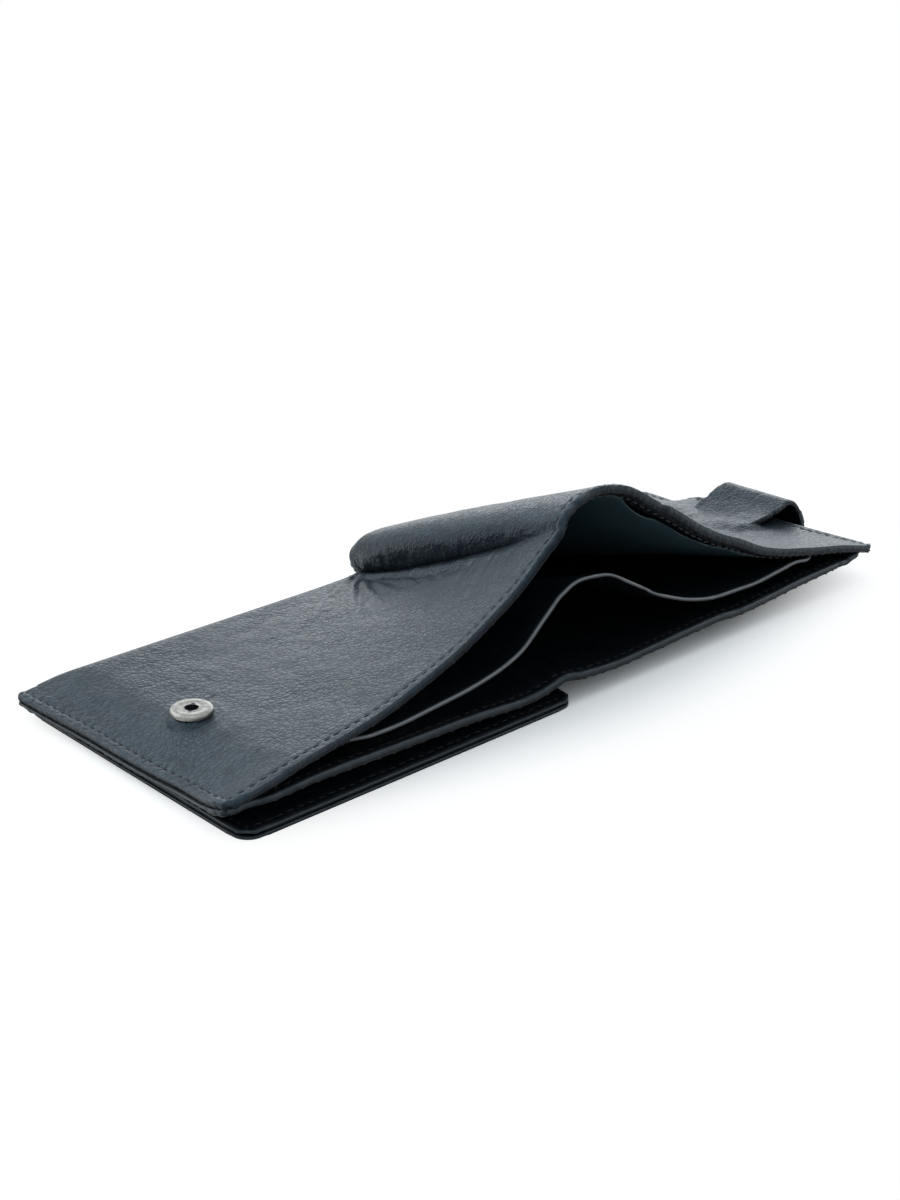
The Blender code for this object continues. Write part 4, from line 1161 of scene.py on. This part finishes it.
def strapSpot(running, y):
    tip = strapPath[-1][0]
    running, y = roundCorners(running, y, (None, tip), (strap["near"], strap["far"]), (strap["tip"],) * 2)
    low, high = 0, len(strapPath) - 1
    while high - low > 1:
        middle = (low + high) // 2
        low, high = (middle, high) if strapPath[middle][0] <= running else (low, middle)
    share = (running - strapPath[low][0]) / (strapPath[high][0] - strapPath[low][0])
    x, z, outX, outZ = (mix(strapPath[low][k], strapPath[high][k], share) for k in range(1, 5))
    far = (y - strap["near"]) / (strap["far"] - strap["near"])
    drop = 0.001 * follow(strap["farDrop"], running) * far
    return place(x + outX * strap["thick"] / 2, y, z + outZ * strap["thick"] / 2 - drop)


def strapRelief(running, y):
    quiet = ease(min(y - strap["near"], strap["far"] - y), 0, 0.005)
    return strap["swell"] * swells(running, y, 0.012, 12.0) * quiet


def nearestRunning(x, z):
    return min(strapPath, key=lambda row: math.hypot(row[1] - x, row[2] - z))[0]


# The strap's four pieces meet about half way between its hinges
bends = [nearestRunning(spot[0] - leftEdge, spot[2]) for spot in strapJoints]
cuts = [round((a + b) / 2 / seam["pitch"]) * seam["pitch"] for a, b in zip(bends, bends[1:])]
cuts = [0.0, *cuts, strapPath[-1][0]]
strapBodies = ("back_half", "strap_lift", "strap_turn", "strap_fold", "strap_end")
strapBends = (0.0012, 0.0032, 0.003, 0.002)
for k, name in enumerate(("strapLift", "strapTurn", "strapFold", "strapEnd")):
    isTip = k == 3
    before, after = (strapSpot(bends[k] + way * strapBends[k], strap["near"]) for way in (-1, 1))
    makeSheet(name, {
        "columns": lanes(cuts[k], cuts[k + 1], strap["step"], False, isTip),
        "rows": lanes(strap["near"], strap["far"], strap["rowStep"], True, True), "spot": strapSpot,
        "relief": strapRelief, "thickness": strap["thick"], "round": strap["round"], "steps": 4,
        "open": ("near", "far", "right") if isTip else ("near", "far")},
        hide, strapBodies[k + 1], bend=(*strapBodies[k:k + 2], before, after), slot="grained_leather")
print("wallet: strap made")

# Snap: a domed ring over the socket, its hole notched for the spring
snapRing = {"notch": 0.0008, "notchTurn": 0.75, "notchWidth": 0.2, "notchReach": 0.0024, "notchRun": 0.00055,
            "segments": 96,
            "profile": ((0.0027, 0.0), (0.0056, 0.0), (0.0056, 0.0006), (0.00545, 0.00095), (0.0051, 0.0012),
                        (0.0045, 0.0013), (0.0036, 0.0013), (0.0031, 0.00122), (0.0027, 0.00118),
                        (0.0022, 0.00128), (0.0019, 0.00126), (0.00185, 0.00118), (0.0019, 0.00116),
                        (0.0027, 0.00108))}


def makeRing():
    mesh = bmesh.new()
    middle = place(ringX, ringY, ringBase)
    path = [mesh.verts.new((radius, 0, height)) for radius, height in snapRing["profile"]]
    edges = [mesh.edges.new(pair) for pair in zip(path, path[1:] + path[:1])]
    bmesh.ops.spin(mesh, geom=path + edges, cent=(0, 0, 0), axis=(0, 0, 1), angle=math.tau,
                   steps=snapRing["segments"], use_merge=True, use_duplicate=False)
    for vert in mesh.verts:
        reach = math.hypot(vert.co.x, vert.co.y)
        if reach < snapRing["notchReach"]:
            turn = math.atan2(vert.co.y, vert.co.x) - snapRing["notchTurn"]
            notch = snapRing["notch"] * hump(math.sin(turn), 0, snapRing["notchWidth"])
            grow = 1 + notch / reach * (snapRing["notchReach"] - reach) / snapRing["notchRun"]
            vert.co.x, vert.co.y = vert.co.x * grow, vert.co.y * grow
        vert.co += middle
    bmesh.ops.remove_doubles(mesh, verts=mesh.verts[:], dist=0.000005)
    bmesh.ops.recalc_face_normals(mesh, faces=mesh.faces)
    settle([finishMesh("snapRing", mesh, nickel, 35)], "snap_ring", body="front_half", slot="nickel")


makeRing()
for node, metal in (("snap_socket", darkNickel), ("snap_stud", nickel), ("snap_cap", nickel)):
    paint(node, metal)
print("wallet: snap made")

# Floor: pale, and lifted to white where it is looked at, so that the shadow under the wallet stays
studio = {"floor": 0.6, "lift": 1.42, "reach": (0.072, 0.14), "spread": (0.8, 1.6, 1.0), "below": 0.00005,
          "world": 0.72, "sky": (0.90, 0.965, 1.0)}


def makeFloor():
    mesh = bmesh.new()
    bmesh.ops.create_grid(mesh, x_segments=1, y_segments=1, size=6.0)
    bmesh.ops.translate(mesh, verts=mesh.verts[:], vec=(0, 0, -studio["below"]))
    made = bpy.data.materials.new("floor")
    made.use_nodes = True
    tree = made.node_tree
    tree.nodes.clear()
    path = addNode(tree, "ShaderNodeLightPath").outputs
    seen = addMath(tree, "MAXIMUM", path["Is Camera Ray"], path["Is Glossy Ray"])
    seen = addMath(tree, "MAXIMUM", seen, path["Is Transmission Ray"])
    level = addRange(tree, seen, toMin=studio["floor"], toMax=studio["lift"])
    matt = addNode(tree, "ShaderNodeBsdfDiffuse", {"Color": level})
    white = addNode(tree, "ShaderNodeEmission")
    flat = addVector(tree, "MULTIPLY", objectSpots(tree), studio["spread"])
    far = addNode(tree, "ShaderNodeVectorMath", {0: flat}, operation="LENGTH").outputs["Value"]
    away = addMath(tree, "MULTIPLY", addRange(tree, far, *studio["reach"], kind="SMOOTHSTEP"), seen)
    mixed = addNode(tree, "ShaderNodeMixShader", {0: away, 1: matt.outputs[0], 2: white.outputs[0]})
    addNode(tree, "ShaderNodeOutputMaterial", {"Surface": mixed.outputs[0]})
    finishMesh("floor", mesh, made)


def makeLight(name, spot, aim, size, power, tint):
    data = bpy.data.lights.new(name, "AREA")
    data.shape, data.size, data.size_y, data.energy, data.color = "RECTANGLE", size[0], size[1], power, tint
    light = bpy.data.objects.new(name, data)
    light.location = spot
    light.rotation_euler = (Vector(aim) - Vector(spot)).to_track_quat("-Z", "Y").to_euler()
    bpy.context.scene.collection.objects.link(light)


makeFloor()
makeLight("backSoftbox", (1.15, 0.85, 0.3), (0, 0, 0), (1.6, 0.5), 6.5, (0.94, 0.975, 1.0))
makeLight("leftSoftbox", (-0.5, 1.05, 0.8), (0, 0, 0), (1.8, 0.8), 7.0, (0.95, 0.98, 1.0))
makeLight("overheadSoftbox", (-0.3, 0.15, 1.2), (0, 0, 0), (1.5, 1.5), 3.5, (0.97, 0.99, 1.0))

world = bpy.data.worlds.new("studio")
world.use_nodes = True
bpy.context.scene.world = world
world.node_tree.nodes.clear()
tree = world.node_tree
sky = addNode(tree, "ShaderNodeBackground", {"Color": (*studio["sky"], 1.0), "Strength": studio["world"]})
white = addNode(tree, "ShaderNodeBackground", {"Color": (1.0, 1.0, 1.0, 1.0), "Strength": 1.0})
looking = addNode(tree, "ShaderNodeLightPath").outputs["Is Camera Ray"]
backdrop = addNode(tree, "ShaderNodeMixShader", {0: looking, 1: sky.outputs[0], 2: white.outputs[0]})
addNode(tree, "ShaderNodeOutputWorld", {"Surface": backdrop.outputs[0]})
bpy.context.scene.view_settings.view_transform = "Standard"

lens = bpy.data.cameras.new("camera")
lens.lens, lens.sensor_width = 59.7, 36
camera = bpy.data.objects.new("camera", lens)
camera.location = (-0.36099, -0.376, 0.2325)
camera.rotation_euler = (math.radians(67.0), 0.0, math.radians(-42.5))
bpy.context.scene.collection.objects.link(camera)
bpy.context.scene.camera = camera
print("wallet: studio made")
